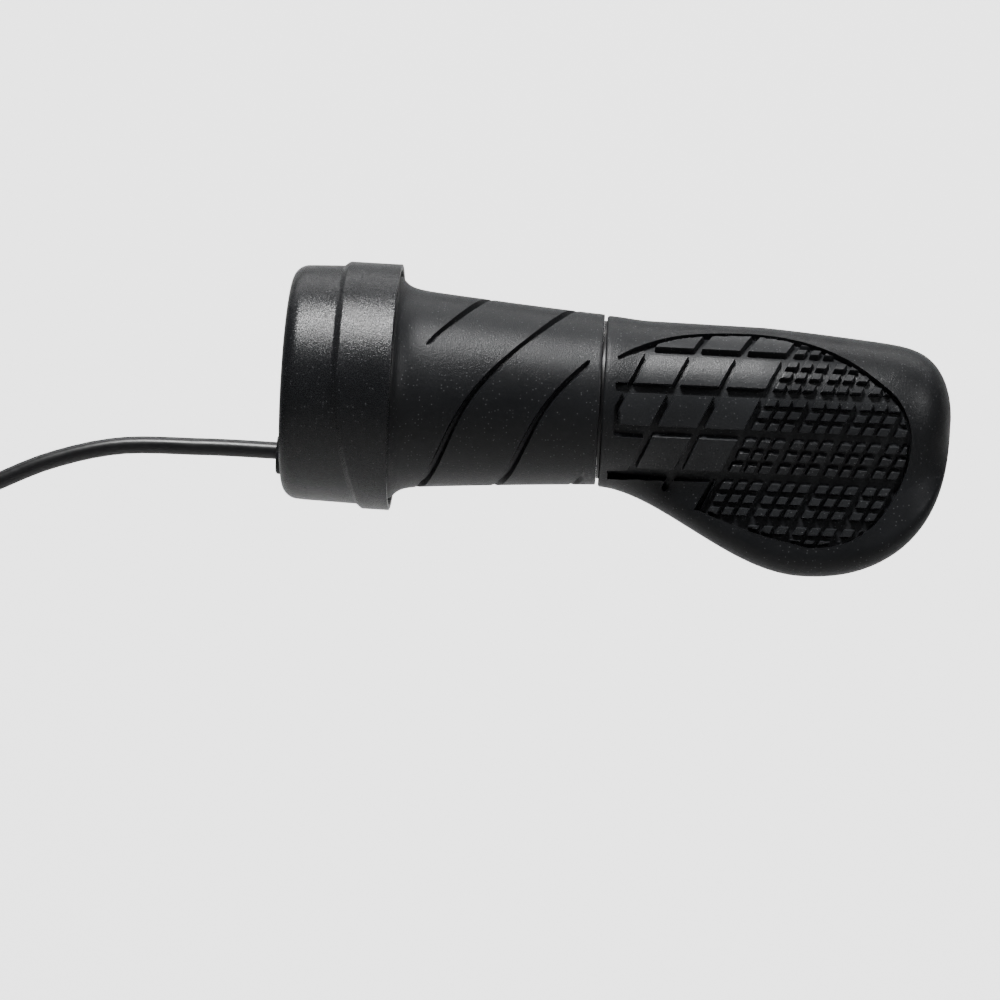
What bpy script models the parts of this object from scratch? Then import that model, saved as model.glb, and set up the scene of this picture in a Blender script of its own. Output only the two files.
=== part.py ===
"""Half-twist throttle for a 22.2 mm handlebar: a fixed housing with a turning sleeve, and a fixed palm grip.

Frame, in metres: the origin is on the handlebar's axis at the housing's inboard face. +X runs outboard along
the bar, -Y faces the front of the grip, where the palm's pattern is, and the palm wing hangs towards -Z.
Angles about the bar run from +Y through +Z.
"""

from math import atan2, cos, exp, hypot, pi, radians, sin

import bmesh
import bpy
from mathutils import Matrix, Vector

MM = 0.001
GAP = 0.3 * MM  # between pieces that touch on the real object
SEGMENTS = 48  # round a large turned piece
SMALL_SEGMENTS = 16

# Handlebar and the tubes over it
BORE_RADIUS = 11.25 * MM
HUB_TUBE_RADIUS = 12.4 * MM
SLEEVE_BORE_RADIUS = 12.8 * MM
SLEEVE_CORE_RADIUS = 14.6 * MM
PALM_CORE_RADIUS = 12.7 * MM

# Housing
HOUSING_LENGTH = 22.5 * MM
HOUSING_RADIUS = 24.25 * MM
FLANGE_RADIUS = 25.75 * MM
LIP_WALL = 1.2 * MM
SHELL_WALL = 1.95 * MM
END_WALL = 2.6 * MM
END_ROUNDING = 4.5 * MM
STEP_NEAR = 11.0 * MM  # where the flange ring starts at the top
STEP_SHIFT = 5.2 * MM  # how much further outboard it starts at the bottom
COVER_SCREW_CIRCLE = 16.4 * MM
COVER_SCREW_ANGLES = (50, 130, 230, 310)

# Hub inside the housing
HUB_START = END_WALL + GAP
HUB_FLANGE_START = 7.0 * MM
HUB_FLANGE_END = 8.6 * MM
HUB_FLANGE_RADIUS = 21.6 * MM
HUB_END = 64.9 * MM
CLAMP_SCREW_X = 5.2 * MM
STOP_ANGLES = (44, 137)  # centres of the two fixed stops
STOP_WIDTH = 8

# Turning sleeve
SLEEVE_START = 9.3 * MM
SLEEVE_END = 62.8 * MM
SLEEVE_FLANGE_START = 18.2 * MM
SLEEVE_FLANGE_END = 19.6 * MM
SLEEVE_FLANGE_RADIUS = 22.7 * MM
CARRIER_START = 13.4 * MM
CARRIER_RADII = (17.0 * MM, 18.4 * MM)
STOP_TAB_ANGLES = (50, 66)
MAGNET_ANGLES = ((200, 237), (238, 275))
RUBBER_START = SLEEVE_FLANGE_END + GAP
RUBBER_END = 65.2 * MM
FLARE_RADIUS = 23.2 * MM
NECK_START = 28.0 * MM
NECK_RADIUS = 20.5 * MM
SLEEVE_TIP_RADIUS = 17.85 * MM

# Sensor
BOARD_START = 8.9 * MM

# Palm grip
PALM_START = 66.0 * MM
PALM_END = 138.6 * MM
PALM_BORE_END = 126.6 * MM
WING_WIDEST = 109.0 * MM
WING_DEPTH = 34.3 * MM
WING_HALF_THICKNESS = 4.8 * MM
WING_FORWARD = 6.5 * MM

# Cord
CORD_RADIUS = 1.8 * MM
CORD_DROP = 14.65 * MM  # below the bar's axis, where it leaves the housing
COIL_CENTRE = (-92.0 * MM, 0.0, -52.0 * MM)
COIL_RADIUS = 20.0 * MM
COIL_HALF_HEIGHT = 3.2 * MM
COIL_HALF_WIDTH = 3.9 * MM
COIL_TIE_ANGLE = -45
PLUG_X = -113.6 * MM
PLUG_TOP = -78.0 * MM


def clear_scene():
    for old in list(bpy.data.objects):
        bpy.data.objects.remove(old, do_unlink=True)


def material(name, colour, roughness, metallic=0.0):
    made = bpy.data.materials.new(name)
    made.use_nodes = True
    shader = made.node_tree.nodes["Principled BSDF"]
    shader.inputs["Base Color"].default_value = (*colour, 1.0)
    shader.inputs["Roughness"].default_value = roughness
    shader.inputs["Metallic"].default_value = metallic
    made.diffuse_color = (*colour, 1.0)
    return made


def around(angle, radius, x=0.0):
    """The point at this angle in degrees about the bar."""
    return Vector((x, radius * cos(radians(angle)), radius * sin(radians(angle))))


def add_object(name, mesh, surface=None, smooth=True):
    piece = bpy.data.objects.new(name, mesh)
    bpy.context.scene.collection.objects.link(piece)
    if smooth:
        mesh.shade_smooth()
        mesh.set_sharp_from_angle(angle=radians(35))
    if surface:
        mesh.materials.append(surface)
    return piece


def mesh_from(name, build):
    """A new mesh that build(bm) fills."""
    mesh = bpy.data.meshes.new(name)
    bm = bmesh.new()
    build(bm)
    bmesh.ops.recalc_face_normals(bm, faces=bm.faces)
    bm.to_mesh(mesh)
    bm.free()
    return mesh


def bridge(bm, rings):
    """Joins each ring of vertices to the next with four-sided faces."""
    for low, high in zip(rings, rings[1:]):
        for i in range(len(low)):
            j = (i + 1) % len(low)
            bm.faces.new((low[i], low[j], high[j], high[i]))


def turned(name, profile, surface=None, segments=SEGMENTS, axis="X", place=(0, 0, 0)):
    """A closed (along, radius) profile turned about an axis. A profile may start and end on the axis."""

    def build(bm):
        columns = []
        for s in range(segments):
            turn = 2 * pi * s / segments
            columns.append([(a, r * cos(turn), r * sin(turn)) for a, r in profile])
        first = {k: bm.verts.new(columns[0][k]) for k, (_, r) in enumerate(profile) if r == 0}
        rings = []
        for k, (_, radius) in enumerate(profile):
            if radius == 0:
                rings.append(first[k])
            else:
                rings.append([bm.verts.new(column[k]) for column in columns])
        pairs = list(zip(rings, rings[1:]))
        if profile[0][1] and profile[-1][1]:
            pairs.append((rings[-1], rings[0]))
        for low, high in pairs:
            if not isinstance(low, list):
                low, high = high, low
            if isinstance(high, list):
                bridge(bm, (low, high))
            else:
                for i in range(segments):
                    bm.faces.new((low[i], low[(i + 1) % segments], high))
        turn_to = {"X": Matrix(), "Y": Matrix.Rotation(pi / 2, 4, "Z"), "Z": Matrix.Rotation(-pi / 2, 4, "Y")}
        bmesh.ops.transform(bm, matrix=turn_to[axis], verts=bm.verts)

    piece = add_object(name, mesh_from(name, build), surface)
    piece.location = place
    return piece


def rod(name, start, end, radius, surface=None, segments=SMALL_SEGMENTS, axis="X", place=(0, 0, 0)):
    profile = [(start, 0), (start, radius), (end, radius), (end, 0)]
    return turned(name, profile, surface, segments, axis, place)


def ring(name, start, end, inner, outer, surface=None, segments=SEGMENTS, axis="X", place=(0, 0, 0)):
    profile = [(start, inner), (start, outer), (end, outer), (end, inner)]
    return turned(name, profile, surface, segments, axis, place)


def block(name, low, high, surface=None):
    def build(bm):
        bmesh.ops.create_cube(bm, size=1.0)
        size = [b - a for a, b in zip(low, high)]
        middle = [(a + b) / 2 for a, b in zip(low, high)]
        bmesh.ops.scale(bm, vec=size, verts=bm.verts)
        bmesh.ops.translate(bm, vec=middle, verts=bm.verts)

    return add_object(name, mesh_from(name, build), surface, smooth=False)


def sector(name, start, end, inner, outer, angles, surface=None, steps=6):
    """A curved block between two angles about the bar."""

    def build(bm):
        rings = []
        for s in range(steps + 1):
            angle = angles[0] + (angles[1] - angles[0]) * s / steps
            corners = ((start, inner), (start, outer), (end, outer), (end, inner))
            rings.append([bm.verts.new(around(angle, r, x)) for x, r in corners])
        bridge(bm, rings)
        bm.faces.new(rings[0])
        bm.faces.new(reversed(rings[-1]))

    return add_object(name, mesh_from(name, build), surface)


def combine(piece, tools, operation):
    """A Boolean of the piece with each tool, which stays in the file as a guide."""
    for tool in tools:
        tool.hide_render = True
        tool.display_type = "WIRE"
        tool.parent = piece
        step = piece.modifiers.new(tool.name, "BOOLEAN")
        step.operation = operation
        step.object = tool
        step.solver = "EXACT"


def cut(piece, *tools):
    combine(piece, tools, "DIFFERENCE")


def fuse(piece, *tools):
    combine(piece, tools, "UNION")


def smooth_path(points, spacing):
    """Evenly spaced points of a Catmull-Rom curve through the given ones."""
    points = [Vector(p) for p in points]
    ends = [2 * points[0] - points[1], *points, 2 * points[-1] - points[-2]]
    fine = []
    for a, b, c, d in zip(ends, ends[1:], ends[2:], ends[3:]):
        for k in range(20):
            t = k / 20
            fine.append(
                0.5 * (2 * b + (c - a) * t + (2 * a - 5 * b + 4 * c - d) * t**2)
                + 0.5 * (3 * b - a - 3 * c + d) * t**3
            )
    fine.append(points[-1])
    run = [0.0]
    for a, b in zip(fine, fine[1:]):
        run.append(run[-1] + (b - a).length)
    count = max(2, round(run[-1] / spacing) + 1)
    even = []
    k = 0
    for i in range(count):
        want = run[-1] * i / (count - 1)
        while k < len(run) - 2 and run[k + 1] < want:
            k += 1
        share = (want - run[k]) / (run[k + 1] - run[k])
        even.append(fine[k].lerp(fine[k + 1], min(1.0, share)))
    return even


def wire(name, points, radius, surface, resolution=2):
    """A round bar along the points, as a curve with a bevel."""
    curve = bpy.data.curves.new(name, "CURVE")
    curve.dimensions = "3D"
    curve.bevel_depth = radius
    curve.bevel_resolution = resolution
    curve.use_fill_caps = True
    spline = curve.splines.new("POLY")
    spline.points.add(len(points) - 1)
    for vertex, place in zip(spline.points, points):
        vertex.co = (*place, 1.0)
    curve.materials.append(surface)
    piece = bpy.data.objects.new(name, curve)
    bpy.context.scene.collection.objects.link(piece)
    return piece


def step_at(angle):
    """Where the flange ring starts at this angle: it swings outboard round the bottom."""
    from_bottom = abs((angle + 90 + 180) % 360 - 180)
    if from_bottom >= 100:
        return STEP_NEAR
    return STEP_NEAR + STEP_SHIFT * 0.5 * (1 + cos(radians(1.8 * from_bottom)))


def shell_profile(angle):
    step = step_at(angle)
    corner = HOUSING_RADIUS - 0.25 * MM
    profile = [(0.0, BORE_RADIUS + 0.2 * MM)]
    for k in range(6):
        turn = pi / 2 * k / 5
        x = END_ROUNDING * (1 - cos(turn))
        profile.append((x, corner - END_ROUNDING * (1 - sin(turn))))
    profile += [
        (step - 0.8 * MM, HOUSING_RADIUS),
        (step + 0.1 * MM, HOUSING_RADIUS + 0.35 * MM),
        (step + 0.9 * MM, FLANGE_RADIUS - 0.35 * MM),
        (step + 1.9 * MM, FLANGE_RADIUS),
        (HOUSING_LENGTH - 0.25 * MM, FLANGE_RADIUS),
        (HOUSING_LENGTH, FLANGE_RADIUS - 0.25 * MM),
        (HOUSING_LENGTH, FLANGE_RADIUS - LIP_WALL),
        (step + 1.7 * MM, FLANGE_RADIUS - LIP_WALL - 0.15 * MM),
        (step + 0.7 * MM, HOUSING_RADIUS - SHELL_WALL),
        (END_WALL + 1.5 * MM, HOUSING_RADIUS - SHELL_WALL),
        (END_WALL, HOUSING_RADIUS - SHELL_WALL - 1.5 * MM),
        (END_WALL, BORE_RADIUS + 0.2 * MM),
    ]
    return profile


def housing_shell(plastic):
    """The cup-shaped casing: a closed inboard wall, and an open thin lip that shades the sleeve's flare."""

    def build(bm):
        rings = []
        for s in range(60):
            angle = 6 * s
            rings.append([bm.verts.new(around(angle, r, x)) for x, r in shell_profile(angle)])
        bridge(bm, [*rings, rings[0]])

    shell = add_object("housing_shell", mesh_from("housing_shell", build), plastic)
    cutters = []
    for angle in COVER_SCREW_ANGLES:
        stepped = [
            (-1 * MM, 0),
            (-1 * MM, 2.7 * MM),
            (1.4 * MM, 2.7 * MM),
            (1.4 * MM, 1.6 * MM),
            (END_WALL + MM, 1.6 * MM),
            (END_WALL + MM, 0),
        ]
        place = around(angle, COVER_SCREW_CIRCLE)
        cutters.append(turned(f"screw_hole_{angle}", stepped, segments=SMALL_SEGMENTS, place=place))
    gland_hole = rod("gland_hole", -MM, END_WALL + MM, 2.85 * MM, segments=18, place=(0, 0, -CORD_DROP))
    clamp_hole = rod("clamp_hole", 19 * MM, 28 * MM, 2.5 * MM, axis="Y", place=(CLAMP_SCREW_X, 0, 0))
    cut(shell, *cutters, gland_hole, clamp_hole)


def mounting_hub(plastic):
    """A flanged tube that grips the bar. The sleeve turns on it; its flange holds the stops and sensor."""
    groove = (63.6 * MM, 64.4 * MM)
    profile = [
        (HUB_START, BORE_RADIUS),
        (HUB_START, HUB_TUBE_RADIUS),
        (HUB_FLANGE_START, HUB_TUBE_RADIUS),
        (HUB_FLANGE_START, HUB_FLANGE_RADIUS),
        (HUB_FLANGE_END, HUB_FLANGE_RADIUS),
        (HUB_FLANGE_END, HUB_TUBE_RADIUS),
        (groove[0], HUB_TUBE_RADIUS),
        (groove[0], HUB_TUBE_RADIUS - 0.5 * MM),
        (groove[1], HUB_TUBE_RADIUS - 0.5 * MM),
        (groove[1], HUB_TUBE_RADIUS),
        (HUB_END, HUB_TUBE_RADIUS),
        (HUB_END, BORE_RADIUS),
    ]
    hub = turned("mounting_hub", profile, plastic)
    for angle in COVER_SCREW_ANGLES:
        place = around(angle, COVER_SCREW_CIRCLE)
        fuse(hub, rod(f"screw_boss_{angle}", HUB_START, 7.8 * MM, 2.6 * MM, place=place))
    clamp_boss = block(
        "clamp_boss",
        (HUB_START, 11.9 * MM, -3.6 * MM),
        (7.8 * MM, 20.4 * MM, 3.6 * MM),
    )
    fuse(hub, clamp_boss)
    for angle in STOP_ANGLES:
        sides = (angle - STOP_WIDTH / 2, angle + STOP_WIDTH / 2)
        fuse(hub, sector(f"stop_{angle}", 8.2 * MM, 17.0 * MM, 19.3 * MM, 21.4 * MM, sides, steps=2))
    for angle in COVER_SCREW_ANGLES:
        place = around(angle, COVER_SCREW_CIRCLE)
        cut(hub, rod(f"pilot_{angle}", 2 * MM, 9.5 * MM, 1.3 * MM, segments=12, place=place))
    clamp_thread = rod("clamp_thread", 10 * MM, 22 * MM, 2.25 * MM, axis="Y", place=(CLAMP_SCREW_X, 0, 0))
    wire_notch = block("wire_notch", (6 * MM, -3.2 * MM, -23 * MM), (9.5 * MM, 3.2 * MM, -18.2 * MM))
    spring_hole = rod("spring_hole", 6 * MM, 9.5 * MM, 0.9 * MM, segments=10, place=around(90, 15.7 * MM))
    cut(hub, clamp_thread, wire_notch, spring_hole)
    for side in (-1, 1):
        place = (0, side * 4.1 * MM, -CORD_DROP - 0.6 * MM)
        cut(hub, rod(f"saddle_pilot_{side}", 6 * MM, 9.5 * MM, 1.2 * MM, segments=10, place=place))


def cover_screws(steel):
    profile = [
        (0.1 * MM, 0),
        (0.1 * MM, 1.7 * MM),
        (0.45 * MM, 2.3 * MM),
        (1.1 * MM, 2.3 * MM),
        (1.1 * MM, 1.0 * MM),
        (8.4 * MM, 1.0 * MM),
        (8.4 * MM, 0),
    ]
    for number, angle in enumerate(COVER_SCREW_ANGLES, 1):
        place = around(angle, COVER_SCREW_CIRCLE)
        turned(f"cover_screw_{number}", profile, steel, segments=SMALL_SEGMENTS, place=place)


def clamp_screw(steel):
    """The grub screw that locks the hub on the bar, with a hex socket in its outer end."""
    screw = rod("clamp_screw", 11.5 * MM, 21.8 * MM, 1.95 * MM, steel, axis="Y", place=(CLAMP_SCREW_X, 0, 0))
    socket = rod("hex_socket", 19.3 * MM, 23 * MM, 1.15 * MM, segments=6, axis="Y", place=(0, 0, 0))
    cut(screw, socket)


def cable_gland(rubber):
    """An oval rubber boss on the inboard face, with a neck through the wall."""
    outline = 20
    levels = (
        (-3.0 * MM, -0.7 * MM),
        (-2.6 * MM, -0.2 * MM),
        (-1.8 * MM, 0.0),
        (-GAP, 0.0),
    )

    def build(bm):
        rings = []
        for x, inset in levels:
            loop = []
            for k in range(outline):
                turn = 2 * pi * k / outline
                y = (3.0 * MM + inset) * cos(turn)
                z = (4.1 * MM + inset) * sin(turn) - CORD_DROP - 0.8 * MM
                loop.append(bm.verts.new((x, y, z)))
            rings.append(loop)
        bridge(bm, rings)
        bm.faces.new(rings[0])
        bm.faces.new(reversed(rings[-1]))

    gland = add_object("cable_gland", mesh_from("cable_gland", build), rubber)
    neck = rod("gland_neck", -0.8 * MM, END_WALL + 0.05 * MM, 2.55 * MM, place=(0, 0, -CORD_DROP))
    fuse(gland, neck)
    cut(gland, rod("gland_bore", -5 * MM, 5 * MM, 2.1 * MM, place=(0, 0, -CORD_DROP)))


def cord_saddle(plastic):
    """The U-shaped clip that holds the cable's sheath against the hub."""
    saddle = block(
        "cord_saddle",
        (3.6 * MM, -5.4 * MM, -CORD_DROP - 3.6 * MM),
        (5.4 * MM, 5.4 * MM, -13.2 * MM),
        plastic,
    )
    slot = block("saddle_slot", (3 * MM, -2.1 * MM, -CORD_DROP), (6 * MM, 2.1 * MM, -12 * MM))
    seat = rod("saddle_seat", 3 * MM, 6 * MM, 2.1 * MM, place=(0, 0, -CORD_DROP))
    cut(saddle, slot, seat)
    for side in (-1, 1):
        place = (0, side * 4.1 * MM, -CORD_DROP - 0.6 * MM)
        cut(saddle, rod(f"saddle_hole_{side}", 3 * MM, 6 * MM, 1.2 * MM, segments=10, place=place))


def saddle_screws(steel):
    profile = [
        (2.8 * MM, 0),
        (2.8 * MM, 1.2 * MM),
        (3.35 * MM, 1.2 * MM),
        (3.35 * MM, 0.85 * MM),
        (8.3 * MM, 0.85 * MM),
        (8.3 * MM, 0),
    ]
    for number, side in enumerate((-1, 1), 1):
        place = (0, side * 4.1 * MM, -CORD_DROP - 0.6 * MM)
        turned(f"saddle_screw_{number}", profile, steel, segments=10, place=place)


def sensor_parts(board_green, black_resin, tinned):
    """A small circuit board on the hub's flange, and a Hall sensor on three legs beside the magnets."""
    board_end = BOARD_START + 0.8 * MM
    block("hall_board", (BOARD_START, -5.4 * MM, -21.0 * MM), (board_end, 5.4 * MM, -16.9 * MM), board_green)
    sensor_start = 13.7 * MM
    low, high = (sensor_start, -1.8 * MM, -21.7 * MM), (16.8 * MM, 1.8 * MM, -20.4 * MM)
    block("hall_sensor", low, high, black_resin)
    for number, side in enumerate((-1, 0, 1), 1):
        y = side * 1.2 * MM
        low = (board_end + 0.2 * MM, y - 0.2 * MM, -20.8 * MM)
        high = (sensor_start - 0.2 * MM, y + 0.2 * MM, -20.4 * MM)
        block(f"sensor_leg_{number}", low, high, tinned)


def sensor_wires(colours):
    """The three insulated wires from the cable's sheath to the board."""
    for (name, surface), side in zip(colours, (-1, 0, 1)):
        y = side * 1.1 * MM
        start = -CORD_DROP - (0.5 * MM if side == 0 else -0.4 * MM)
        route = [
            (5.9 * MM, y * 0.7, start),
            (6.3 * MM, y, -15.6 * MM),
            (6.35 * MM, y * 1.4, -17.6 * MM),
            (6.9 * MM, y * 1.7, -19.4 * MM),
            (8.5 * MM, y * 1.9, -19.9 * MM),
        ]
        wire(name, smooth_path(route, 0.9 * MM), 0.38 * MM, surface, resolution=1)


def return_spring(steel):
    """A torsion spring round the sleeve's inner end: one leg in the hub's flange, one on the sleeve's lug."""
    mean = 15.7 * MM
    low = 9.6 * MM
    high = 12.7 * MM
    turns = 3.0
    steps = 60
    points = [around(90, mean, 7.6 * MM)]
    for k in range(steps + 1):
        share = k / steps
        points.append(around(90 + 360 * turns * share, mean, low + (high - low) * share))
    points.append(around(90 + 360 * turns, mean, 16.0 * MM))
    wire("return_spring", points, 0.45 * MM, steel, resolution=1)


def sleeve_core(plastic):
    """The turning tube, with a flange, a magnet carrier, a stop tab and a lug for the spring."""
    profile = [
        (SLEEVE_START, SLEEVE_BORE_RADIUS),
        (SLEEVE_START, SLEEVE_CORE_RADIUS),
        (SLEEVE_FLANGE_START, SLEEVE_CORE_RADIUS),
        (SLEEVE_FLANGE_START, CARRIER_RADII[0]),
        (CARRIER_START, CARRIER_RADII[0]),
        (CARRIER_START, CARRIER_RADII[1]),
        (SLEEVE_FLANGE_START, CARRIER_RADII[1]),
        (SLEEVE_FLANGE_START, SLEEVE_FLANGE_RADIUS),
        (SLEEVE_FLANGE_END, SLEEVE_FLANGE_RADIUS),
        (SLEEVE_FLANGE_END, SLEEVE_CORE_RADIUS),
        (SLEEVE_END, SLEEVE_CORE_RADIUS),
        (SLEEVE_END, SLEEVE_BORE_RADIUS),
    ]
    core = turned("sleeve_core", profile, plastic)
    tab = sector("stop_tab", 13.8 * MM, 19.0 * MM, 17.8 * MM, 21.4 * MM, STOP_TAB_ANGLES, steps=3)
    lug = sector("spring_lug", 14.2 * MM, 19.0 * MM, 14.0 * MM, 17.6 * MM, (95, 106), steps=2)
    fuse(core, tab, lug)


def magnets(surface):
    start = CARRIER_START + 0.4 * MM
    for name, angles in zip(("magnet_north", "magnet_south"), MAGNET_ANGLES):
        sector(name, start, start + 3.8 * MM, CARRIER_RADII[1] + GAP, 20.0 * MM, angles, surface)


def sleeve_radius(x):
    """The rubber sleeve's outside: a long taper that opens into a flare at the housing."""
    left = (RUBBER_END - x) / (RUBBER_END - NECK_START)
    taper = SLEEVE_TIP_RADIUS + (NECK_RADIUS - SLEEVE_TIP_RADIUS) * max(0.0, left) ** 1.15
    flare = 1.77 * MM * exp(-(x - 23 * MM) / (1.46 * MM))
    return min(FLARE_RADIUS, taper + flare)


def twist_rubber(rubber):
    stations = (20.6, 21.8, 22.5, 23.2, 24, 25, 26.3, 28, 32, 38, 45, 52, 59, 64.4)
    inner = SLEEVE_CORE_RADIUS + GAP
    profile = [
        (RUBBER_START, inner),
        (RUBBER_START, FLARE_RADIUS - 0.6 * MM),
        *[(x * MM, sleeve_radius(x * MM)) for x in stations],
        (RUBBER_END, SLEEVE_TIP_RADIUS - 0.5 * MM),
        (RUBBER_END, inner),
    ]
    turned("twist_rubber", profile, rubber, segments=52)


def smoothstep(t):
    t = min(1.0, max(0.0, t))
    return t * t * (3 - 2 * t)


def end_rounding(x, start, power, bluntness):
    """Falls from 1 to 0 between start and the grip's end."""
    share = min(1.0, max(0.0, (x - start) / (PALM_END - start)))
    return (1 - share**power) ** bluntness


def barrel_radius(x):
    """The palm grip's round part."""
    waist = 17.0 * MM + 0.6 * MM * (1 - smoothstep((x - PALM_START) / (9 * MM)))
    taper = 3.0 * MM * max(0.0, (x - 98 * MM) / (40.6 * MM)) ** 1.25
    return (waist - taper) * end_rounding(x, 118 * MM, 5, 0.55)


def wing_reach(x):
    """How far the palm wing's lower edge is from the bar's axis."""
    neck = 18.2 * MM
    if x >= WING_WIDEST:
        return WING_DEPTH * end_rounding(x, WING_WIDEST, 2.2, 0.39)
    share = (x - PALM_START) / (WING_WIDEST - PALM_START)
    return neck + (WING_DEPTH - neck) * smoothstep(max(0.0, share) ** 0.93)


def wing_forward(x):
    """How far in front of the bar's axis the wing's middle is at its lower edge."""
    return WING_FORWARD * smoothstep((x - PALM_START) / (25 * MM)) * end_rounding(x, 126 * MM, 3, 0.5)


def grip_distance(x, y, z):
    """Below zero inside the grip's section: a round barrel blended with a tapering wing."""
    barrel = hypot(y, z) - barrel_radius(x)
    thin = WING_HALF_THICKNESS * max(0.05, end_rounding(x, 126 * MM, 3, 0.5))
    thick = 0.62 * barrel_radius(x)
    forward = wing_forward(x)
    tip = (-forward, -(wing_reach(x) - thin))
    root = (-0.35 * forward, 0.0)
    run = (tip[0] - root[0], tip[1] - root[1])
    share = ((y - root[0]) * run[0] + (z - root[1]) * run[1]) / max(1e-12, run[0] ** 2 + run[1] ** 2)
    share = min(1.0, max(0.0, share))
    off_line = (y - root[0] - share * run[0], z - root[1] - share * run[1])
    wing = hypot(*off_line) - (thick + (thin - thick) * share)
    blend = 5 * MM * max(0.02, end_rounding(x, 126 * MM, 3, 0.5))
    overlap = max(blend - abs(barrel - wing), 0.0) / blend
    return min(barrel, wing) - overlap * overlap * blend / 4


def grip_section(x, count):
    """Evenly spaced points round the grip's section, from the top towards the front."""
    centre = (-0.3 * wing_forward(x), -0.3 * (wing_reach(x) - barrel_radius(x)))
    fine = []
    for k in range(360):
        turn = 2 * pi * k / 360
        way = (-sin(turn), cos(turn))
        low, high = 0.0, 50 * MM
        for _ in range(30):
            middle = (low + high) / 2
            if grip_distance(x, centre[0] + way[0] * middle, centre[1] + way[1] * middle) < 0:
                low = middle
            else:
                high = middle
        fine.append((centre[0] + way[0] * low, centre[1] + way[1] * low))
    lowest = min(z for _, z in fine)
    stretch = wing_reach(x) / -lowest
    fine = [(y, z * stretch if z < 0 else z) for y, z in fine]
    fine.append(fine[0])
    run = [0.0]
    for a, b in zip(fine, fine[1:]):
        run.append(run[-1] + hypot(b[0] - a[0], b[1] - a[1]))
    even = []
    k = 0
    for i in range(count):
        want = run[-1] * i / count
        while run[k + 1] < want:
            k += 1
        share = (want - run[k]) / (run[k + 1] - run[k])
        a, b = fine[k], fine[k + 1]
        even.append((a[0] + (b[0] - a[0]) * share, a[1] + (b[1] - a[1]) * share))
    return even


def palm_grip(rubber):
    """The fixed rubber grip: closed at its outer end, with a blind bore for the bar's end."""
    count = 44
    body = [PALM_START, PALM_START + 0.5 * MM]
    body += [PALM_START + (4 + 5.2 * k) * MM for k in range(11)]
    cap_start = 124 * MM
    cap = [cap_start + (PALM_END - cap_start) * sin(pi / 2 * k / 10) for k in range(10)]

    def build(bm):
        rings = []
        for x in [*body, *cap]:
            section = grip_section(x, count)
            if x == PALM_START:
                section = [(y * 0.975, z * 0.975) for y, z in section]
            rings.append([bm.verts.new((x, y, z)) for y, z in section])
        last = grip_section(PALM_END - 0.06 * MM, count)
        rings.append([bm.verts.new((PALM_END - 0.02 * MM, y, z)) for y, z in last])
        bridge(bm, rings)
        bm.faces.new(rings[-1])
        bore = PALM_CORE_RADIUS + GAP
        bore_rings = [rings[0]]
        for x in (PALM_START, PALM_BORE_END):
            loop = []
            for y, z in grip_section(PALM_START, count):
                turn = atan2(z, y)
                loop.append(bm.verts.new((x, bore * cos(turn), bore * sin(turn))))
            bore_rings.append(loop)
        bridge(bm, bore_rings)
        bm.faces.new(bore_rings[-1])

    add_object("palm_grip", mesh_from("palm_grip", build), rubber)


def cord_route():
    """The cable's centreline from inside the housing to the coil: nearly level, then sagging."""
    return [
        (5.6 * MM, 0, -CORD_DROP),
        (-3.0 * MM, 0, -CORD_DROP),
        (-18.0 * MM, 0, -14.8 * MM),
        (-34.5 * MM, 0, -15.6 * MM),
        (-49.0 * MM, 0, -19.6 * MM),
        (-62.0 * MM, 0, -26.0 * MM),
        (-71.0 * MM, 0, -30.0 * MM),
        (-77.4 * MM, 0, -31.4 * MM),
    ]


def cord_parts(sheath, tie_plastic, plug_plastic, boot_rubber, brass, seal_rubber):
    wire("cable", smooth_path(cord_route(), 4.5 * MM), CORD_RADIUS, sheath)
    coil_profile = []
    for k in range(12):
        turn = 2 * pi * k / 12
        coil_profile.append((COIL_HALF_WIDTH * cos(turn), COIL_RADIUS + COIL_HALF_HEIGHT * sin(turn)))
    turned("cable_coil", coil_profile, sheath, segments=32, axis="Y", place=COIL_CENTRE)
    tail = [
        (PLUG_X + 0.5 * MM, 0, -66.4 * MM),
        (PLUG_X + 0.1 * MM, 0, -71.0 * MM),
        (PLUG_X, 0, PLUG_TOP + GAP),
    ]
    wire("cable_tail", smooth_path(tail, 3.5 * MM), CORD_RADIUS, sheath)
    coil_tie(tie_plastic)
    plug(plug_plastic, boot_rubber, brass, seal_rubber)


def coil_tie(plastic):
    """A flat band round both turns of the coil."""
    inner_y = COIL_HALF_WIDTH + GAP
    inner_r = COIL_HALF_HEIGHT + GAP
    wall = 0.9 * MM
    half = 1.3 * MM
    outer = Vector((half, inner_y + wall, inner_r + wall))
    tie = block("coil_tie", -outer, outer, plastic)
    hole = block("tie_hole", (-2 * half, -inner_y, -inner_r), (2 * half, inner_y, inner_r))
    cut(tie, hole)
    turn = radians(COIL_TIE_ANGLE)
    tie.location = (
        COIL_CENTRE[0] + COIL_RADIUS * cos(turn),
        0.0,
        COIL_CENTRE[2] + COIL_RADIUS * sin(turn),
    )
    tie.rotation_euler = (0, pi / 2 - turn, 0)


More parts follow.
